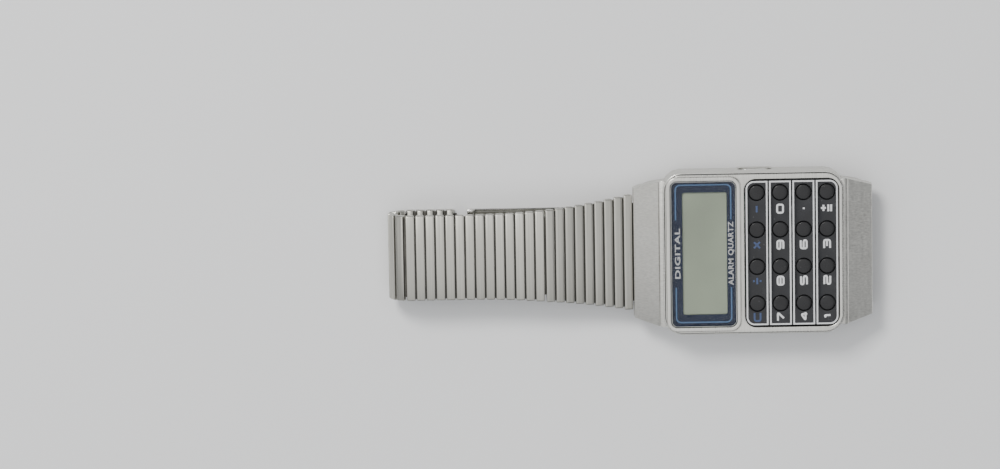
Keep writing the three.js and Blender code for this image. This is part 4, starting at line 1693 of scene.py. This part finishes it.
def make_stage():
    bm = bmesh.new()
    bmesh.ops.create_grid(bm, x_segments=24, y_segments=24, size=1.2)
    floor = mesh_object("floor", bm)
    floor.data.transform(Matrix.Translation((0, 0, CAD_BOX[0].z - FLOOR_GAP)))
    floor.data.materials.append(material_of("floor"))
    world = bpy.data.worlds.new("studio")
    world.use_nodes = True
    sky = world.node_tree.nodes["Background"].inputs
    sky["Color"].default_value = SKY_TINT
    sky["Strength"].default_value = SKY_STRENGTH
    bpy.context.scene.world = world
    for lamp in LAMPS:
        soft_lamp(*lamp)
    make_camera()


# ---- operators, panel and registration -----------------------------------------------------------
class WATCH_OT_materials(bpy.types.Operator):
    """Make the watch's materials"""

    bl_idname = "watch.materials"
    bl_label = "Materials"

    def execute(self, context):
        make_materials()
        return {"FINISHED"}


class WATCH_OT_case(bpy.types.Operator):
    """Build the case with its two hoods"""

    bl_idname = "watch.case"
    bl_label = "Case"

    def execute(self, context):
        make_case_shell()
        for side in (1, -1):
            make_hood(side)
        return {"FINISHED"}


class WATCH_OT_face(bpy.types.Operator):
    """Build the face plate and the raised frame round the window"""

    bl_idname = "watch.face"
    bl_label = "Face"

    def execute(self, context):
        make_face_plate()
        make_groove_shade()
        make_display_frame()
        return {"FINISHED"}


class WATCH_OT_display(bpy.types.Operator):
    """Build the window, its printed mask and the display cell"""

    bl_idname = "watch.display"
    bl_label = "Display"

    def execute(self, context):
        make_window()
        make_mask()
        make_mask_lines()
        make_mask_words()
        make_display()
        return {"FINISHED"}


class WATCH_OT_keypad(bpy.types.Operator):
    """Build the keypad's rows, outlines, legends and keys"""

    bl_idname = "watch.keypad"
    bl_label = "Keypad"

    def execute(self, context):
        make_keypad()
        make_keys()
        return {"FINISHED"}


class WATCH_OT_back(bpy.types.Operator):
    """Build the back with its screws, the pushers, and dress the pieces inside"""

    bl_idname = "watch.back"
    bl_label = "Back and inside"

    def execute(self, context):
        make_back()
        make_pushers()
        make_carried()
        return {"FINISHED"}


class WATCH_OT_bracelet(bpy.types.Operator):
    """Build the bracelet's strands bar by bar"""

    bl_idname = "watch.bracelet"
    bl_label = "Bracelet"

    def execute(self, context):
        make_strands()
        return {"FINISHED"}


class WATCH_OT_clasp(bpy.types.Operator):
    """Build the three leaves of the folding clasp"""

    bl_idname = "watch.clasp"
    bl_label = "Clasp"

    def execute(self, context):
        make_clasp()
        return {"FINISHED"}


class WATCH_OT_stage(bpy.types.Operator):
    """Lay the floor and set the lights and the camera"""

    bl_idname = "watch.stage"
    bl_label = "Stage"

    def execute(self, context):
        make_stage()
        return {"FINISHED"}


STEPS = (
    WATCH_OT_materials,
    WATCH_OT_stage,
    WATCH_OT_case,
    WATCH_OT_face,
    WATCH_OT_display,
    WATCH_OT_keypad,
    WATCH_OT_back,
    WATCH_OT_bracelet,
    WATCH_OT_clasp,
)


class WATCH_PT_panel(bpy.types.Panel):
    """The watch's build steps and settings"""

    bl_idname = "WATCH_PT_panel"
    bl_label = "Calculator wristwatch"
    bl_space_type = "VIEW_3D"
    bl_region_type = "UI"
    bl_category = "Watch"

    def draw(self, context):
        for step in STEPS:
            self.layout.operator(step.bl_idname)
        for group in (context.scene.watch_sizes, context.scene.watch_colours):
            for name in group.__annotations__:
                self.layout.prop(group, name)


CLASSES = (WatchSizes, WatchColours, *STEPS, WATCH_PT_panel)


def register():
    for item in CLASSES:
        bpy.utils.register_class(item)
    bpy.types.Scene.watch_sizes = PointerProperty(type=WatchSizes)
    bpy.types.Scene.watch_colours = PointerProperty(type=WatchColours)


def unregister():
    del bpy.types.Scene.watch_colours
    del bpy.types.Scene.watch_sizes
    for item in reversed(CLASSES):
        bpy.utils.unregister_class(item)


def main():
    register()
    for step in STEPS:
        group, name = step.bl_idname.split(".")
        getattr(getattr(bpy.ops, group), name)()


if __name__ == "__main__":
    main()
